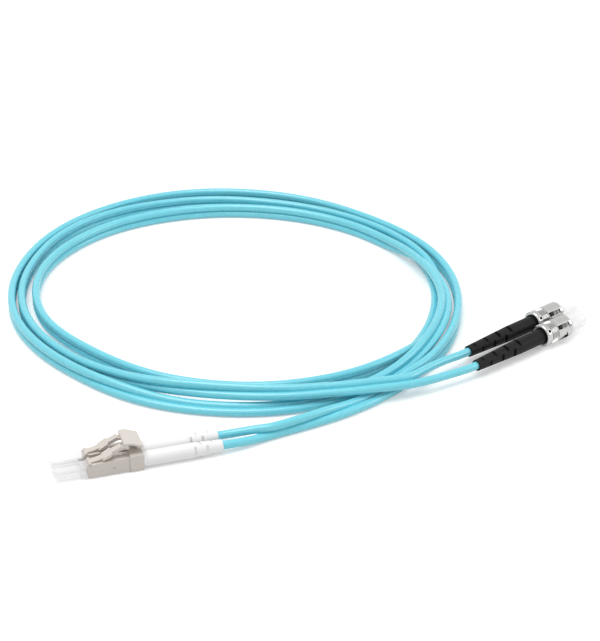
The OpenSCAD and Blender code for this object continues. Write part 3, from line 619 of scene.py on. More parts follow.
class Growth:
    """A geometry node tree with named inputs, and the meshes made by it."""

    def __init__(self, name: str, inputs: dict[str, str]) -> None:
        """Starts the tree.

        Args:
            name: The tree's name.
            inputs: The type of each named input, such as "Float" or "Int".
        """
        self.group = bpy.data.node_groups.new(name, "GeometryNodeTree")
        sockets = self.group.interface
        for label, kind in {"Geometry": "Geometry", **inputs, "Material": "Material"}.items():
            sockets.new_socket(name=label, in_out="INPUT", socket_type=f"NodeSocket{kind}")
        sockets.new_socket(name="Geometry", in_out="OUTPUT", socket_type="NodeSocketGeometry")
        self.tree = Tree(self.group)
        self.source = self.group.nodes.new("NodeGroupInput")

    def given(self, label: str) -> Wire:
        """A named input of the tree."""
        return Wire(self.tree, self.source.outputs[label])

    def ends(self, shape: Wire) -> None:
        """Ends the tree: instances made real, then the material set."""
        real = self.tree.node("GeometryNodeRealizeInstances", {0: shape})
        inputs = {"Geometry": real, "Material": self.given("Material")}
        done = self.tree.node("GeometryNodeSetMaterial", inputs)
        self.tree.node("NodeGroupOutput", {0: done})

    def grown(self, name: str, mesh: Mesh, finish: Finish, values: dict[str, Any]) -> Obj:
        """Runs the tree on a mesh.

        Args:
            name: The name of the object made.
            mesh: The tree's input.
            finish: The surface of the result.
            values: The other named inputs.

        Returns:
            The object that holds the result.
        """
        obj = placed(name, mesh)
        values = {**values, "Material": finish.material()}
        step = obj.modifiers.new("rule", "NODES")
        step.node_group = self.group
        for item in self.group.interface.items_tree:
            if item.in_out == "INPUT" and item.name in values:
                step[item.identifier] = values[item.name]
        return baked(obj)


class Springs(Growth):
    """Round-wire compression springs about +Z, from a height of zero."""

    def __init__(self) -> None:
        """Builds the tree."""
        names = ("Length", "Radius", "Wire", "Turns")
        super().__init__("spring", {name: "Float" for name in names})
        tree, turn_steps, wire_sides = self.tree, 40, 14
        length, radius, wire, turns = map(self.given, names)
        helix = {
            "Resolution": turn_steps, "Rotations": turns, "Height": length - wire,
            "Start Radius": radius, "End Radius": radius,
        }
        spiral = tree.node("GeometryNodeCurveSpiral", helix)
        section = {"Resolution": wire_sides, "Radius": wire * 0.5}
        round_wire = tree.node("GeometryNodeCurvePrimitiveCircle", section)
        swept = {"Curve": spiral, "Profile Curve": round_wire, "Fill Caps": True}
        coil = tree.node("GeometryNodeCurveToMesh", swept)
        lift = tree.node("ShaderNodeCombineXYZ", {"Z": wire * 0.5})
        self.ends(tree.node("GeometryNodeTransform", {"Geometry": coil, "Translation": lift}))


class Ridges(Growth):
    """Copies of one ridge, evenly round +Z."""

    def __init__(self) -> None:
        """Builds the tree; the input geometry is the ridge at angle zero."""
        super().__init__("ridges", {"Count": "Int"})
        tree, count = self.tree, self.given("Count")
        spots = tree.node("GeometryNodeMeshLine", {"Count": count, "Offset": (0.0, 0.0, 0.0)})
        turn = tree.node("GeometryNodeInputIndex") * (2 * math.pi) / count
        turned = tree.node("ShaderNodeCombineXYZ", {"Z": turn})
        inputs = {"Points": spots, "Instance": self.given("Geometry"), "Rotation": turned}
        self.ends(tree.node("GeometryNodeInstanceOnPoints", inputs))


class ReliefCuts(Growth):
    """Flat cuts in pairs across a boot about +Z, each pair at right angles to the one before."""

    def __init__(self) -> None:
        """Builds the tree; the input geometry is the plain boot, its front at zero."""
        names = ("first", "pitch", "gap", "width", "depth", "core", "count", "turn")
        super().__init__("relief_cuts", {name: "Float" for name in names})
        tree, least_lean = self.tree, 0.05
        start, pitch, gap, width, depth, core, cuts, turn = map(self.given, names)
        place = tree.node("GeometryNodeInputPosition")
        x, y, z = tree.split("ShaderNodeSeparateXYZ", "XYZ", Vector=place)
        radius = (x * x + y * y).apply("SQRT")
        angle = y.apply("ARCTAN2", x)
        behind = 0.0 - z - start
        pair = (behind / pitch).apply("FLOOR")
        rest = behind - pair * pitch
        first = rest < width
        second = (rest > gap) * (rest < gap + width)
        inside = (behind > 0.0) * (pair * 2 + second < cuts) * (radius > core)
        across = (angle - turn - second * (math.pi / 2)).apply("COSINE")
        lean = across.apply("ABSOLUTE").apply("MAXIMUM", least_lean)
        floor = (radius - depth).apply("MAXIMUM", core)
        share = radius.apply("MINIMUM", floor / lean) / radius
        moved = tree.node("ShaderNodeCombineXYZ", {"X": x * share, "Y": y * share, "Z": z})
        inputs = {"Selection": inside * (first + second), "Position": moved}
        inputs["Geometry"] = self.given("Geometry")
        self.ends(tree.node("GeometryNodeSetPosition", inputs))


@dataclass(frozen=True)
class Spring:
    """A compression spring: its length, its mean radius, its wire, its turns and its travel."""

    length: float
    radius: float
    wire: float
    turns: float
    travel: float

    def build(self, rule: Springs, side: Side, stem: str, place: Matrix) -> Obj:
        """Makes the spring of one side.

        Args:
            rule: The springs' rule.
            side: The side.
            stem: The kind of connector, as its names begin.
            place: Where it goes, from one end at zero along +Z.

        Returns:
            The piece.
        """
        values = {name: getattr(self, name.lower()) * MM for name in ("Length", "Radius", "Wire")}
        values["Turns"] = self.turns
        name, blank = side.named(f"{stem}_coil_spring"), bpy.data.meshes.new("spring")
        spring = rule.grown(name, blank, WIRE_STEEL, values)
        smooth_by_angle(spring)
        dressed(spring, WIRE_STEEL, "base", [side.named(f"{stem}_spring")], place)
        return spring


@dataclass(frozen=True)
class Boot:
    """A strain relief with flat cuts in pairs, its front at zero and its length towards -Z.

    The front is the outline up to the outside's plain part; edge_gap is how far from a cut's
    edge the rings of points on both sides of it stand.
    """

    finish: Finish
    length: float
    radius: float
    crimp_radius: float
    crimp_length: float
    plain: float
    front: tuple[Pair, ...]
    rings: tuple[float, ...]
    cut_first: float
    cut_pitch: float
    cut_gap: float
    cut_count: int
    cut_width: float
    cut_depth: float
    cut_turn: float
    edge_gap: float
    end_round: float
    end_radius: float = 2.1
    bore: float = 1.6
    cut_wall: float = 0.2

    def _outside(self, behind: float) -> Pair:
        """The outside's point at a distance behind the front."""
        share = max(0.0, (behind - self.plain) / (self.length - self.plain))
        return self.radius + (self.end_radius - self.radius) * share, -behind

    def _outline(self) -> list[Pair]:
        """The section, with a ring of points on both sides of each cut's edge.

        Returns:
            Radius and height of each point, in millimetres.
        """
        stations = [*self.rings, self.plain]
        for i in range(self.cut_count):
            start = self.cut_first + i // 2 * self.cut_pitch + i % 2 * self.cut_gap
            stations.append(start + self.cut_width / 2)
            for edge in (start, start + self.cut_width):
                stations += [edge - self.edge_gap, edge + self.edge_gap]
        end = -self.length
        corners = [self._outside(self.length - 1), (self.end_radius, end), (self.bore, end)]
        return [
            *self.front,
            *map(self._outside, sorted(stations)),
            *bent([*corners, (self.bore, end + 1)], self.end_round),
            (self.bore, -self.crimp_length),
            (self.crimp_radius, -self.crimp_length),
        ]

    def build(self, rule: ReliefCuts, side: Side, stem: str, place: Matrix) -> None:
        """Makes the boot of one side.

        Args:
            rule: The rule of the boots' cuts.
            side: The side.
            stem: The kind of connector, as its names begin.
            place: Where its front goes.
        """
        lengths = ("first", "pitch", "gap", "width", "depth")
        values = {name: getattr(self, f"cut_{name}") * MM for name in lengths}
        values["core"] = (self.bore + self.cut_wall) * MM
        values["count"] = float(self.cut_count)
        values["turn"] = math.radians(self.cut_turn)
        name, plain = side.named(f"{stem}_strain_relief"), lathed("boot", self._outline())
        boot = rule.grown(name, plain, self.finish, values)
        smooth_by_angle(boot)
        dressed(boot, self.finish, "base", [side.named(f"{stem}_boot")], place)


PLUG_BOOT = Boot(
    WHITE_BOOT, length=27.6, radius=2.675, crimp_radius=2.02, crimp_length=7.4, plain=17.4,
    front=tuple(bent(
        [(2.02, 0), (2.535, 0), (2.675, -0.5), (2.675, -0.85),
         (2.515, -1.0), (2.515, -1.15), (2.675, -1.3), (2.675, -1.6)], 0.08, spare=2
    )),
    rings=(2.0, 6.0, 10.0, 14.0, 26.2), cut_first=17.5, cut_pitch=4.15, cut_gap=1.75,
    cut_count=4, cut_width=0.8, cut_depth=0.8, cut_turn=105.0, edge_gap=0.02, end_round=0.25,
)
BAYONET_BOOT = Boot(
    BLACK_BOOT, length=34.5, radius=2.9, crimp_radius=2.52, crimp_length=11.5, plain=12.6,
    front=((2.52, 0), *bent([(2.52, 0), (2.9, 0), (2.9, -2)], 0.25)),
    rings=(3.0, 6.0, 9.0), cut_first=13.1, cut_pitch=6.1, cut_gap=3.05,
    cut_count=7, cut_width=1.3, cut_depth=0.9, cut_turn=10.0, edge_gap=0.03, end_round=0.22,
)


# ---------- what both kinds of connectors share ----------


@dataclass
class Connectors(ABC):
    """A near and a far connector of one kind; a spot on an axis is in millimetres.

    Backward is the sense along the axis from a boot's front to its rear end. Kept are the
    solids inside that stay as they are, each with its surface.
    """

    kind: str
    backward: int
    boot: Boot
    boot_front: float
    jacket_start: float
    spring: Spring
    kept: tuple[tuple[str, Finish], ...]

    @abstractmethod
    def on_axis(self, side: Side, at: float) -> np.ndarray:
        """A point on a connector's axis, in millimetres."""

    @abstractmethod
    def place(self, side: Side, at: float) -> Matrix:
        """The place of a piece that is drawn along +Z, whose zero goes to a spot on the axis."""

    def cord_end(self, side: Side) -> np.ndarray:
        """Where a strand's jacket ends inside its crimp."""
        return self.on_axis(side, self.jacket_start)

    def boot_end(self, side: Side) -> np.ndarray:
        """The middle of a boot's rear end."""
        return self.on_axis(side, self.boot_front + self.backward * self.boot.length)

    def fill(
        self, side: Side, springs: Springs, back: float, joint: str, axis: Sequence[float]
    ) -> None:
        """Makes a connector's spring, and gives the solids inside that stay their surfaces.

        Args:
            side: The connector's side.
            springs: The springs' rule.
            back: Where on the axis the spring begins.
            joint: A joint's name; not used.
            axis: Its direction; not used.
        """
        spring = self.spring.build(springs, side, self.kind, self.place(side, back))
        end = self.on_axis(side, back + self.spring.length) * MM
        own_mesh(spring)
        for stem, finish in self.kept:
            node = side.named(f"{self.kind}_{stem}")
            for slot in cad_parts[node].material_slots:
                slot.material = finish.material()
            LOG.info("%s: kept, with %s", node, finish.name)


# ---------- the cord ----------


@dataclass(frozen=True)
class Bump:
    """A soft change along the coil: its station, its half width in stations and its amount."""

    station: float
    half: float
    amount: float
    flat: float = 0.3

    def at(self, u: float) -> float:
        """The change at a station."""
        away = abs((u - self.station) / self.half)
        share = min(1.0, max(0.0, (away - self.flat) / (1 - self.flat)))
        return self.amount * (1 - share * share * (3 - 2 * share))


def between(a: np.ndarray, b: np.ndarray, c: np.ndarray, d: np.ndarray, t: float) -> np.ndarray:
    """A curve through b and c that leaves b towards c as a and d ask."""
    slope, bend, twist = c - a, 2 * a - 5 * b + 4 * c - d, 3 * b - a - 3 * c + d
    return (2 * b + slope * t + bend * t**2 + twist * t**3) / 2


def smooth(knots: Sequence[Sequence[float]], steps: int) -> np.ndarray:
    """Points on a smooth curve through a list of knots.

    Args:
        knots: The knots.
        steps: How many points there are from a knot to the next.

    Returns:
        The points, with both end knots.
    """
    k = np.array(knots, float)
    g = np.vstack([2 * k[0] - k[1], k, 2 * k[-1] - k[-2]])
    made = [between(*g[i : i + 4], t / steps) for i in range(len(k) - 1) for t in range(steps)]
    return np.array([*made, k[-1]])


def spaced(points: np.ndarray, step: float) -> np.ndarray:
    """The same line with its points evenly spaced."""
    along = run(points)
    places = np.linspace(0, along[-1], int(round(along[-1] / step)) + 1)
    return np.stack([np.interp(places, along, points[:, i]) for i in range(3)], axis=1)


def eased(points: np.ndarray, reach: int) -> np.ndarray:
    """Evens out the small kinks of a line, and keeps its ends.

    Args:
        points: Its points, evenly spaced.
        reach: How far the evening reaches, in points.

    Returns:
        As many points again.
    """
    n = 3 * reach
    weights = np.exp(-0.5 * (np.arange(-n, n + 1) / reach) ** 2)
    weights /= weights.sum()
    head = 2 * points[0] - points[n:0:-1]
    tail = 2 * points[-1] - points[-2 : -n - 2 : -1]
    whole = np.vstack([head, points, tail])
    return np.stack([np.convolve(whole[:, i], weights, "valid") for i in range(3)], axis=1)


def unit(vectors: np.ndarray) -> np.ndarray:
    """Vectors of length one."""
    return vectors / np.linalg.norm(vectors, axis=-1, keepdims=True)


@dataclass
class TwinCord:
    """Two jacketed strands side by side, from the plugs' boots through the coil to the others.

    A station is a part of a turn. A row of a lead is a place on the ground, a lift and the
    angle of the pair's width: 0 lies flat and 90 stands. Legs are the near and the far one's.
    """

    radius: float = 1.5
    half_pitch: float = 1.52
    web_half: float = 0.4
    web_slack: float = 0.1
    pair_slack: float = 0.25
    land_share: float = 1.06
    step: float = 1.5
    fine_step: float = 0.75
    ease_reach: int = 3
    sides: int = 28
    lead_steps: int = 10
    leg_steps: int = 8
    coil_steps: int = 24
    heading_step: float = 0.02
    coil_centre: Pair = (64, 107)
    coil_start: float = 300
    station: float = 30
    radii: tuple[float, ...] = (
        96, 91, 87.6, 84.6, 87.8, 91.2, 90.2, 86.8, 85.4, 84.8, 88.6, 92.2,
        90.8, 85.8, 77.9, 74.4, 72.8, 73.8, 76.4, 77.4, 75.4, 72.4, 76.2, 81.2,
        84.8, 83, 82.4, 79.8, 79.6, 83.2, 86.4, 83, 81.4, 80.4, 83.4, 91, 100,
    )
    last: int = 35
    humps: tuple[Bump, ...] = (Bump(13.15, 1.5, 4.2), Bump(35.6, 2.8, 4.4))
    leans: tuple[Bump, ...] = (
        Bump(0, 1, 10), Bump(10.7, 1.7, 75), Bump(13.15, 1.6, 55),
        Bump(25.15, 1.4, -76), Bump(27.6, 1.6, -30), Bump(36, 2.4, 65),
    )
    plug_lead: Rows = (
        (48, -0.1, 0, 90), (59, 1.9, 0, 100), (69, 4.4, 0, 125),
        (79, 7.6, 0, 158), (89, 11.4, 0, 166), (100, 16.8, 0, 158),
    )
    bayonet_lead: Rows = (
        (73, 14.6, 4.4, 155), (82, 13.2, 4.4, 155), (91, 12.6, 4.3, 155),
        (98, 12.4, 3.9, 152), (105, 12.8, 3.4, 150),
    )
    plug_legs: tuple[Rows, Rows] = (
        ((34, -3, 2.7), (39, -2.2, 2.2), (43.6, -1.1, 1.7)),
        ((34, 3, 2.9), (39, 2.2, 3.4), (43.6, 1, 4.2)),
    )
    bayonet_legs: tuple[Rows, Rows] = (
        ((127.3, 16, 4.4), (120.4, 14.6, 4.4), (113.5, 13, 4.6)),
        ((128.4, 26.2, 4.4), (121, 23.4, 4.9), (113.4, 19.4, 5.6)),
    )

    def _reach(self, u: float) -> float:
        """The coil's radius at a station."""
        end = len(self.radii) - 1
        i = max(0, min(int(math.floor(u)), end - 1))
        knots = [np.array(self.radii[min(max(k, 0), end)], float) for k in range(i - 1, i + 3)]
        return float(between(*knots, u - i))

    def _row(self, u: float) -> np.ndarray:
        """The pair's middle at a station: its place, its lift and the angle of its width."""
        r, a = self._reach(u), math.radians(self.coil_start + self.station * u)
        x, y = self.coil_centre
        lift, lean = (sum(b.at(u) for b in bumps) for bumps in (self.humps, self.leans))
        return np.array([x + r * math.cos(a), y + r * math.sin(a), lift, 90 + lean])

    def _join(self, u: float, distance: float) -> np.ndarray:
        """A row of the coil moved straight on along its heading."""
        row, d = self._row(u), self.heading_step
        row[:2] += distance * unit((self._row(u + d) - self._row(u - d))[:2])
        return row

    def _pairs(self) -> np.ndarray:
        """The whole paired stretch, from one split to the other.

        Returns:
            Its rows.
        """
        first = self._join(0, -2 * self.radius)
        last = self._join(self.last, 2 * self.radius)
        stations = np.linspace(0, self.last, self.last * self.coil_steps + 1)
        lead_in = smooth([*self.plug_lead, first], self.lead_steps)
        lead_out = smooth([last, *self.bayonet_lead], self.lead_steps)
        return np.vstack([lead_in, [self._row(u) for u in stations], lead_out])

    def _strand(self, side: Side, plugs: Connectors, bayonets: Connectors) -> np.ndarray:
        """One strand's middle from end to end.

        Args:
            side: The strand's side.
            plugs: The connectors at its first end.
            bayonets: The connectors at its last end.

        Returns:
            Evenly spaced points, in millimetres.
        """
        rows = self._pairs()
        ahead = unit(np.gradient(rows[:, :2], axis=0))
        lean = np.radians(rows[:, 3])
        across = np.cos(lean)
        width = np.stack([across * ahead[:, 1], -across * ahead[:, 0], np.sin(lean)], axis=1)
        height = self.radius + self.half_pitch * np.abs(np.sin(lean)) + rows[:, 2]
        middle = np.column_stack([rows[:, :2], height]) + side.value * self.half_pitch * width
        index = list(Side).index(side)
        first = smooth([plugs.boot_end(side), *self.plug_legs[index], middle[0]], self.leg_steps)
        last = [bayonets.boot_end(side), *self.bayonet_legs[index], middle[-1]]
        last = smooth(last, self.leg_steps)[::-1]
        whole = [plugs.cord_end(side), first, middle[1:-1], last, bayonets.cord_end(side)]
        fine = spaced(np.vstack(whole), self.fine_step)
        return spaced(eased(fine, self.ease_reach), self.step)

    def _rings(self, line: np.ndarray, other: np.ndarray) -> np.ndarray:
        """The rings of one strand, with a land of the web towards its partner.

        Args:
            line: The strand's middle.
            other: Its partner's middle.

        Returns:
            The rings, in millimetres.
        """
        ahead = unit(np.gradient(line, axis=0))
        gaps = np.linalg.norm(line[:, None] - other[None], axis=2)
        reach = gaps.min(axis=1)
        towards = other[gaps.argmin(axis=1)] - line
        towards -= (towards * ahead).sum(axis=1, keepdims=True) * ahead
        paired = np.flatnonzero(reach < 2 * self.half_pitch + self.pair_slack)
        low, high = paired[0], paired[-1]
        east = unit(towards)
        for span in (range(low - 1, -1, -1), range(high + 1, len(line))):
            back = 1 if span.step < 0 else -1
            for i in span:
                east[i] = unit(east[i + back] - (east[i + back] @ ahead[i]) * ahead[i])
        north = np.cross(ahead, east)
        land = math.atan2(self.web_half, self.half_pitch)
        edge = self.land_share * land
        rest = np.linspace(edge, 2 * math.pi - edge, self.sides - 3)
        angles = np.concatenate([[-land, 0.0, land], rest])
        out = np.full((len(line), self.sides), self.radius)
        web = np.minimum(reach / 2, self.half_pitch + self.web_slack)[:, None] / np.cos(angles[:3])
        inside = (np.arange(len(line)) >= low) & (np.arange(len(line)) <= high)
        out[:, :3] = np.where(inside[:, None], np.maximum(web, self.radius), self.radius)
        eastward = np.cos(angles)[None, :, None] * east[:, None]
        northward = np.sin(angles)[None, :, None] * north[:, None]
        return line[:, None] + out[..., None] * (eastward + northward)

    def build(self, plugs: Connectors, bayonets: Connectors) -> None:
        """Makes both strands.

        Args:
            plugs: The connectors at their first ends.
            bayonets: The connectors at their last ends.
        """
        lines = {side: self._strand(side, plugs, bayonets) for side in Side}
        for side, partner in ((Side.NEAR, Side.FAR), (Side.FAR, Side.NEAR)):
            name, line = side.named("strand"), lines[side]
            along = run(line) * MM
            rings = self._rings(line, lines[partner]) * MM
            mesh = outward(grid_mesh(name, rings, along, closed=False))
            strand = placed(name, shaded_smooth(mesh))
            shared = ("twin_coil", "plug_lead", "bayonet_lead")
            legs = (side.named("plug_leg"), side.named("bayonet_leg"))
            dressed(strand, JACKET, "base", (*shared, *legs), Matrix())
            tuple(plugs.boot_end(side) * MM)
            [tuple(p) for p in line * MM]
            LOG.info("%s: %.3f m long", strand.name, along[-1])


# ---------- the plug pair ----------


@dataclass
class PlugPair(Connectors):
    """Two small-form plugs in their duplex clip, with boots, latches, trigger and caps."""

    kind: str = "plug"
    backward: int = 1
    boot: Boot = PLUG_BOOT
    boot_front: float = 2.3
    jacket_start: float = 8.0
    spring: Spring = Spring(length=5.5, radius=1.15, wire=0.35, turns=5.0, travel=1.5)
    # The flange and backpost inside take the darkened plated finish, as painted shade
    kept: tuple[tuple[str, Finish], ...] = (
        ("ferrule", ZIRCONIA), ("flange", PLATED), ("backpost", PLATED), ("crimp", GILT),
        ("fibre", BUFFER),
    )
    pitch: float = 6.25
    axis_height: float = 2.85

    def on_axis(self, side: Side, at: float) -> np.ndarray:
        """A point on a plug's axis, by its x."""
        return np.array([at, side.value * self.pitch / 2, self.axis_height])

    def place(self, side: Side, at: float) -> Matrix:
        """The place of a piece that is drawn along +Z, whose zero goes to an x on the axis."""
        spot = Vector(self.on_axis(side, at)) * MM
        return Matrix.Translation(spot) @ Matrix.Rotation(math.pi / 2, 4, "Y")

    def build(self, springs: Springs, cuts: ReliefCuts) -> None:
        """Makes every piece of the pair.

        Args:
            springs: The springs' rule.
            cuts: The rule of the boots' cuts.
        """
        for side in Side:
            named, about = side.named, Matrix.Rotation(math.pi, 4, "X")
            for node, name, finish, body, width, segments in (
                ("plug_housing", "housing_shell", BEIGE, "base", 0.08, 2),
                ("plug_latch", "latch_arm", BEIGE, named("latch"), 0.1, 2),
                ("plug_cap", "plug_dust_cap", CLEAR_CAP, named("plug_cap"), 0.12, 3),
            ):
                rounded_solid(named(node), named(name), finish, body, width, segments)
            self.boot.build(cuts, side, self.kind, self.place(side, self.boot_front) @ about)
            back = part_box(named("plug_spring"))[0].x / MM
            self.fill(side, springs, back, f"plug_ferrule_{side.label}_float", (1.0, 0.0, 0.0))
        rounded_solid("duplex_clip", "clip_shell", BEIGE, "base", 0.09)
        rounded_solid("clip_trigger", "trigger_plate", BEIGE, "trigger", 0.16, 3)


# ---------- the bayonet connectors ----------


@dataclass
class BayonetPair(Connectors):
    """Two bayonet connectors with coupling nuts, boots and caps.

    A connector is drawn along +Z, the front edge of its nut at zero.
    """

    kind: str = "bayonet"
    backward: int = -1
    boot: Boot = BAYONET_BOOT
    boot_front: float = -13.2
    jacket_start: float = -22.6
    spring: Spring = Spring(length=5.5, radius=2.95, wire=0.5, turns=4.0, travel=2.5)
    # The body, washer, springs and circlip inside the nut are darker than their metals, as painted
    # shade
    kept: tuple[tuple[str, Finish], ...] = (
        ("body", PAINTED_SHADE_BODY), ("ferrule", ZIRCONIA), ("washer", PLATED), ("circlip", WIRE_STEEL),
        ("crimp", GILT), ("fibre", BUFFER),
    )
    spring_back: float = -11.45
    nut_front: Spot = (175.7, 35.4, 4.35)
    turn: float = 22.0
    pitch: float = 9.2
    stagger: float = 5.1
    nut_radius: float = 4.35
    nut_length: float = 13.5
    nut_bore: float = 3.65
    nut_hole: float = 2.5
    nut_recess_radius: float = 3.35
    nut_recess: float = 0.8
    nut_wall: float = 0.8
    nut_bevel: float = 0.45
    nut_lip: Pair = (0.25, 0.3)
    nut_corner: float = 0.07
    nut_edge: float = 0.06
    nut_edge_angle: float = 42.0
    nut_segments: int = 96
    knurl_back: float = -11.0
    knurl_length: float = 3.0
    knurl_core: float = 4.05
    knurl_count: int = 60
    knurl_groove: float = 0.25
    ridge_root: float = 0.1
    ridge_gap: float = 0.02
    ridge_crest: float = 0.3
    slot_angle: float = 231.0
    slot_width: float = 1.8
    slot_back: float = -7.6
    slot_front: float = -1.5
    slot_round: float = 0.3
    slot_inward: float = 0.3
    neck_width: float = 1.0
    neck_offset: float = 1.0
    neck_back: float = -2.0
    ramp_angle: float = 55.5
    ramp: tuple[Pair, ...] = (
        (-3.4, -1.4), (-2.2, 0.8), (-2.2, 3.0), (-6.9, 3.0), (-6.9, 2.3), (-5.4, 0.0),
    )
    hole_width: float = 1.2
    hole_back: float = -12.1
    hole_angle: float = -4.0
    hole_inward: float = 0.2
    cap_radius: float = 3.5
    cap_back: float = -0.9
    cap_front: float = 9.0
    cap_bore: float = 1.3
    cap_bore_end: float = 4.0
    cap_face: float = 0.2
    cap_bevel: float = 0.15
    cap_bore_bevel: float = 0.3
    cap_round: float = 1.3
    cap_round_steps: int = 6
    cap_tip: float = 0.4
    cap_groove: float = 0.12
    cap_groove_at: tuple[float, ...] = (0.6, 0.75, 1.15, 1.3)
    sleeve_radius: float = 1.9
    hair: float = 0.02

    def place(self, side: Side, at: float = 0.0) -> Matrix:
        """The place of a piece that is drawn along +Z.

        Args:
            side: The connector's side.
            at: Where on its axis the piece's zero goes, in millimetres.

        Returns:
            The turn and the shift, in metres.
        """
        step = Vector((self.stagger, self.pitch, 0)) * MM if side is Side.FAR else Vector()
        return (
            Matrix.Translation(Vector(self.nut_front) * MM)
            @ Matrix.Rotation(math.radians(self.turn), 4, "Z")
            @ Matrix.Translation(step)
            @ Matrix.Rotation(math.pi / 2, 4, "Y")
            @ Matrix.Translation((0, 0, at * MM))
        )

    def on_axis(self, side: Side, at: float) -> np.ndarray:
        """A point on a connector's axis, in millimetres."""
        return np.array(self.place(side) @ Vector((0, 0, at * MM))) / MM

    def build(self, springs: Springs, cuts: ReliefCuts, ridges: Ridges) -> None:
        """Makes every piece of both connectors.

        Args:
            springs: The springs' rule.
            cuts: The rule of the boots' cuts.
            ridges: The rule of the nuts' ridges.
        """
        for side in Side:
            self._nut(side, ridges)
            self.boot.build(cuts, side, self.kind, self.place(side, self.boot_front))
            self._cap(side)
            ends = [self.on_axis(side, self.spring_back + z) for z in (0, self.spring.length)]
            axis = (ends[1] - ends[0]) / self.spring.length
            self.fill(side, springs, self.spring_back, f"nut_{side.label}_push", axis)

    def _nut_outline(self) -> list[Pair]:
        """A nut's section: outside from the rear to the front, then the bore back again.

        Returns:
            Radius and height of each point, in millimetres.
        """
        back, r, core = -self.nut_length, self.nut_radius, self.knurl_core
        bevel, (lip_in, lip_back) = self.nut_bevel, self.nut_lip
        band_back = self.knurl_back - self.knurl_groove
        band_front = self.knurl_back + self.knurl_length + self.knurl_groove
        wall_back = back + self.nut_recess
        wall_front = wall_back + self.nut_wall
        corners = [
            (self.nut_recess_radius, back), (r - bevel, back), (r, back + bevel),
            (r, band_back), (core, band_back), (core, band_front), (r, band_front),
            (r, -lip_back), (r - lip_in, 0), (self.nut_bore, 0), (self.nut_bore, wall_front),
            (self.nut_hole, wall_front), (self.nut_hole, wall_back),
            (self.nut_recess_radius, wall_back),
        ]
        return softened(corners, self.nut_corner, 2)

    def _wall_cutter(self, outline: Sequence[Pair], turn: float, inward: float) -> Mesh:
        """A cutter for the nut's wall.

        Args:
            outline: Height and sideways place of its corners.
            turn: The angle it stands at, in degrees.
            inward: How far it reaches into the bore.

        Returns:
            The cutter's mesh.
        """
        low, high = self.nut_bore - inward, self.nut_radius + 1
        mesh = prism("cutter", [(y, z) for z, y in outline], low, high)
        # The cut's walls take the bore's painted shade
        for loop in mesh.uv_layers.new(name="surface").data:
            loop.uv = (0.0, 1.0)
        # The bar's length becomes the radius and its outline stands along the axis
        basis = Matrix(((0, 0, 1, 0), (1, 0, 0, 0), (0, 1, 0, 0), (0, 0, 0, 1)))
        mesh.transform(Matrix.Rotation(math.radians(turn), 4, "Z") @ basis)
        return outward(mesh)

    def _cutters(self) -> list[Mesh]:
        """Cutters of both slots, each with its neck and its ramp's opening, and the square hole.

        Returns:
            Their meshes, along the nut's axis.
        """
        half, neck, offset = self.slot_width / 2, self.neck_width / 2, self.neck_offset
        slot = softened(oblong(self.slot_back, self.slot_front, -half, half), self.slot_round)
        mouth = oblong(self.neck_back, 1.0, offset - neck, offset + neck)
        made = []
        for angle in (self.slot_angle, self.slot_angle + 180):
            for outline, turn in ((slot, 0.0), (mouth, 0.0), (self.ramp, self.ramp_angle)):
                made.append(self._wall_cutter(outline, angle + turn, self.slot_inward))
        half = self.hole_width / 2
        hole = oblong(self.hole_back - half, self.hole_back + half, -half, half)
        turn = self.slot_angle + self.hole_angle
        return [*made, self._wall_cutter(hole, turn, self.hole_inward)]

    def _nut(self, side: Side, ridges: Ridges) -> None:
        """Makes a coupling nut with its slots, its ramps' mouths, its hole and its ridges.

        Args:
            side: The connector's side.
            ridges: The rule of the ridges.
        """
        outline = self._nut_outline()
        nut = placed(side.named("coupling_nut"), lathed("nut", outline, self.nut_segments))
        cut_by(nut, self._cutters())
        edged(nut, self.nut_edge, angle=self.nut_edge_angle)
        core = self.knurl_core
        root, crest = core - self.ridge_root, self.nut_radius - self.ridge_gap
        foot = math.pi * core / self.knurl_count
        top = self.ridge_crest * foot
        half = [(root, foot), (core, foot), (crest, top)]
        section = [(x, -y) for x, y in half] + half[::-1]
        ridge = prism("ridge", section, self.knurl_back, self.knurl_back + self.knurl_length)
        band = ridges.grown("band", ridge, NICKEL, {"Count": self.knurl_count})
        with editing(nut.data) as shape:
            shape.from_mesh(band.data)
        bpy.data.objects.remove(band)
        place = self.place(side)
        dressed(nut, NICKEL, side.named("nut"), [side.named("bayonet_nut")], place)

    def _cap(self, side: Side) -> None:
        """Makes a clear dust cap.

        Args:
            side: The connector's side.
        """
        node, bevel, inner = side.named("bayonet_cap"), self.cap_bevel, self.cap_bore_bevel
        back, face, front, end = self.cap_back, self.cap_face, self.cap_front, self.cap_bore_end
        sleeve, r, bore = self.sleeve_radius, self.cap_radius, self.cap_bore
        groove = list(zip((r, r - self.cap_groove, r - self.cap_groove, r), self.cap_groove_at))
        corners = [groove[-1], (r, front), (self.cap_tip, front)]
        nose = bent(corners, self.cap_round, self.cap_round_steps)
        outline = [
            (sleeve - bevel, back), (sleeve, back + bevel), (sleeve, face), (r - bevel, face),
            (r, face + bevel), *groove, *nose, (self.hair, front), (self.hair, end),
            (bore - inner, end), (bore, end - inner), (bore, back),
        ]
        cap = placed(side.named("bayonet_dust_cap"), lathed("cap", outline))
        smooth_by_angle(cap)
        dressed(cap, CLEAR_CAP, node, [node], self.place(side))


# ---------- the studio ----------


@dataclass(frozen=True)
class Lamp:
    """A round lamp: its place, its size and its power."""

    name: str
    place: Spot
    size: float
    power: float


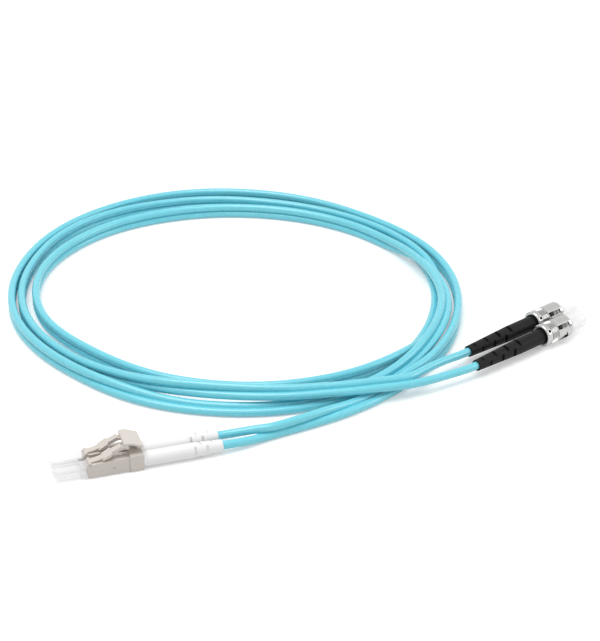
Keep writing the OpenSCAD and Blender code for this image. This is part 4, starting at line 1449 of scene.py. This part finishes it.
@dataclass
class Studio:
    """The camera, the soft light and the white ground; lamps and ground are in metres."""

    eye: Spot = (-92.8, -465.6, 310.2)
    aim: Spot = (83.7, 77.6, 0.0)
    sensor: float = 36.0
    focal_pixels: float = 1680.0
    picture_height: float = 641.0
    seen_from_to: Pair = (0.05, 20.0)
    ground_half: float = 0.6
    ground_drop: float = 0.05
    ground_tone: float = 0.8
    ground_glow: float = 0.33
    sky: float = 0.49
    lamp_aim: Spot = (0.1, 0.09, 0)
    soft_lamps: tuple[Lamp, ...] = (
        Lamp("key", (-0.15, 0.05, 0.95), 0.8, 6.4), Lamp("side", (0.94, -0.2, 0.42), 0.55, 2.0),
    )

    @staticmethod
    def _aimed(obj: Obj, place: Vector, aim: Vector) -> None:
        """Puts an object in its place and points it."""
        turn = (aim - place).to_track_quat("-Z", "Y")
        set_all(obj, location=place, rotation_mode="QUATERNION", rotation_quaternion=turn)

    def camera(self) -> None:
        """Sets the camera."""
        start, end = self.seen_from_to
        data = set_all(
            bpy.data.cameras.new("camera"), sensor_fit="VERTICAL", sensor_width=self.sensor,
            sensor_height=self.sensor, lens=self.focal_pixels / self.picture_height * self.sensor,
            clip_start=start, clip_end=end,
        )
        made = placed("camera", data)
        self._aimed(made, Vector(self.eye) * MM, Vector(self.aim) * MM)
        bpy.context.scene.camera = made

    def lamps(self) -> None:
        """One broad lamp above, a smaller one at the side, and an even sky that shows white."""
        for lamp in self.soft_lamps:
            data = bpy.data.lights.new(lamp.name, "AREA")
            set_all(data, shape="DISK", size=lamp.size, energy=lamp.power)
            self._aimed(placed(lamp.name, data), Vector(lamp.place), Vector(self.lamp_aim))
        world = bpy.data.worlds.new("sky")
        bpy.context.scene.world = world
        tree = Tree.of(world)
        strength = self._shown(tree) * (1 - self.sky) + self.sky
        sky = tree.node("ShaderNodeBackground", {"Color": WHITE, "Strength": strength})
        tree.node("ShaderNodeOutputWorld", {"Surface": sky})

    @staticmethod
    def _shown(tree: Tree) -> Wire:
        """1 for the rays that show the background: from the camera, mirrored or let through."""
        kinds = ("Is Camera Ray", "Is Glossy Ray", "Is Transmission Ray")
        seen, mirrored, through = tree.split("ShaderNodeLightPath", kinds)
        return seen.apply("MAXIMUM", mirrored).apply("MAXIMUM", through)

    def ground(self) -> None:
        """A wide pale floor that shows white and keeps the object's shadow."""
        half, z = self.ground_half, -self.ground_drop * MM
        corners = [(x, y, z) for x, y in oblong(-half, half, -half, half)]
        floor = placed("ground", meshed("ground", corners, [(0, 1, 2, 3)]))
        made = bpy.data.materials.new("ground")
        tree = Tree.of(made)
        matt = tree.node("ShaderNodeBsdfDiffuse", {"Color": (*(self.ground_tone,) * 3, 1)})
        shine = self._shown(tree) * self.ground_glow
        glow = tree.node("ShaderNodeEmission", {"Color": WHITE, "Strength": shine})
        both = tree.node("ShaderNodeAddShader", {0: matt, 1: glow})
        tree.node("ShaderNodeOutputMaterial", {"Surface": both})
        floor.data.materials.append(made)

    def build(self) -> None:
        """Sets up everything that isn't part of the object."""
        bpy.context.scene.view_settings.view_transform = "Standard"
        self.camera()
        self.lamps()
        self.ground()


def main() -> None:
    """Builds the cord and its connectors."""
    logging.basicConfig(level=logging.INFO, format="%(name)s: %(message)s")
    Studio().build()
    plugs, bayonets = PlugPair(), BayonetPair()
    TwinCord().build(plugs, bayonets)
    springs, cuts, ridges = Springs(), ReliefCuts(), Ridges()
    plugs.build(springs, cuts)
    bayonets.build(springs, cuts, ridges)


if __name__ == "__main__":
    main()
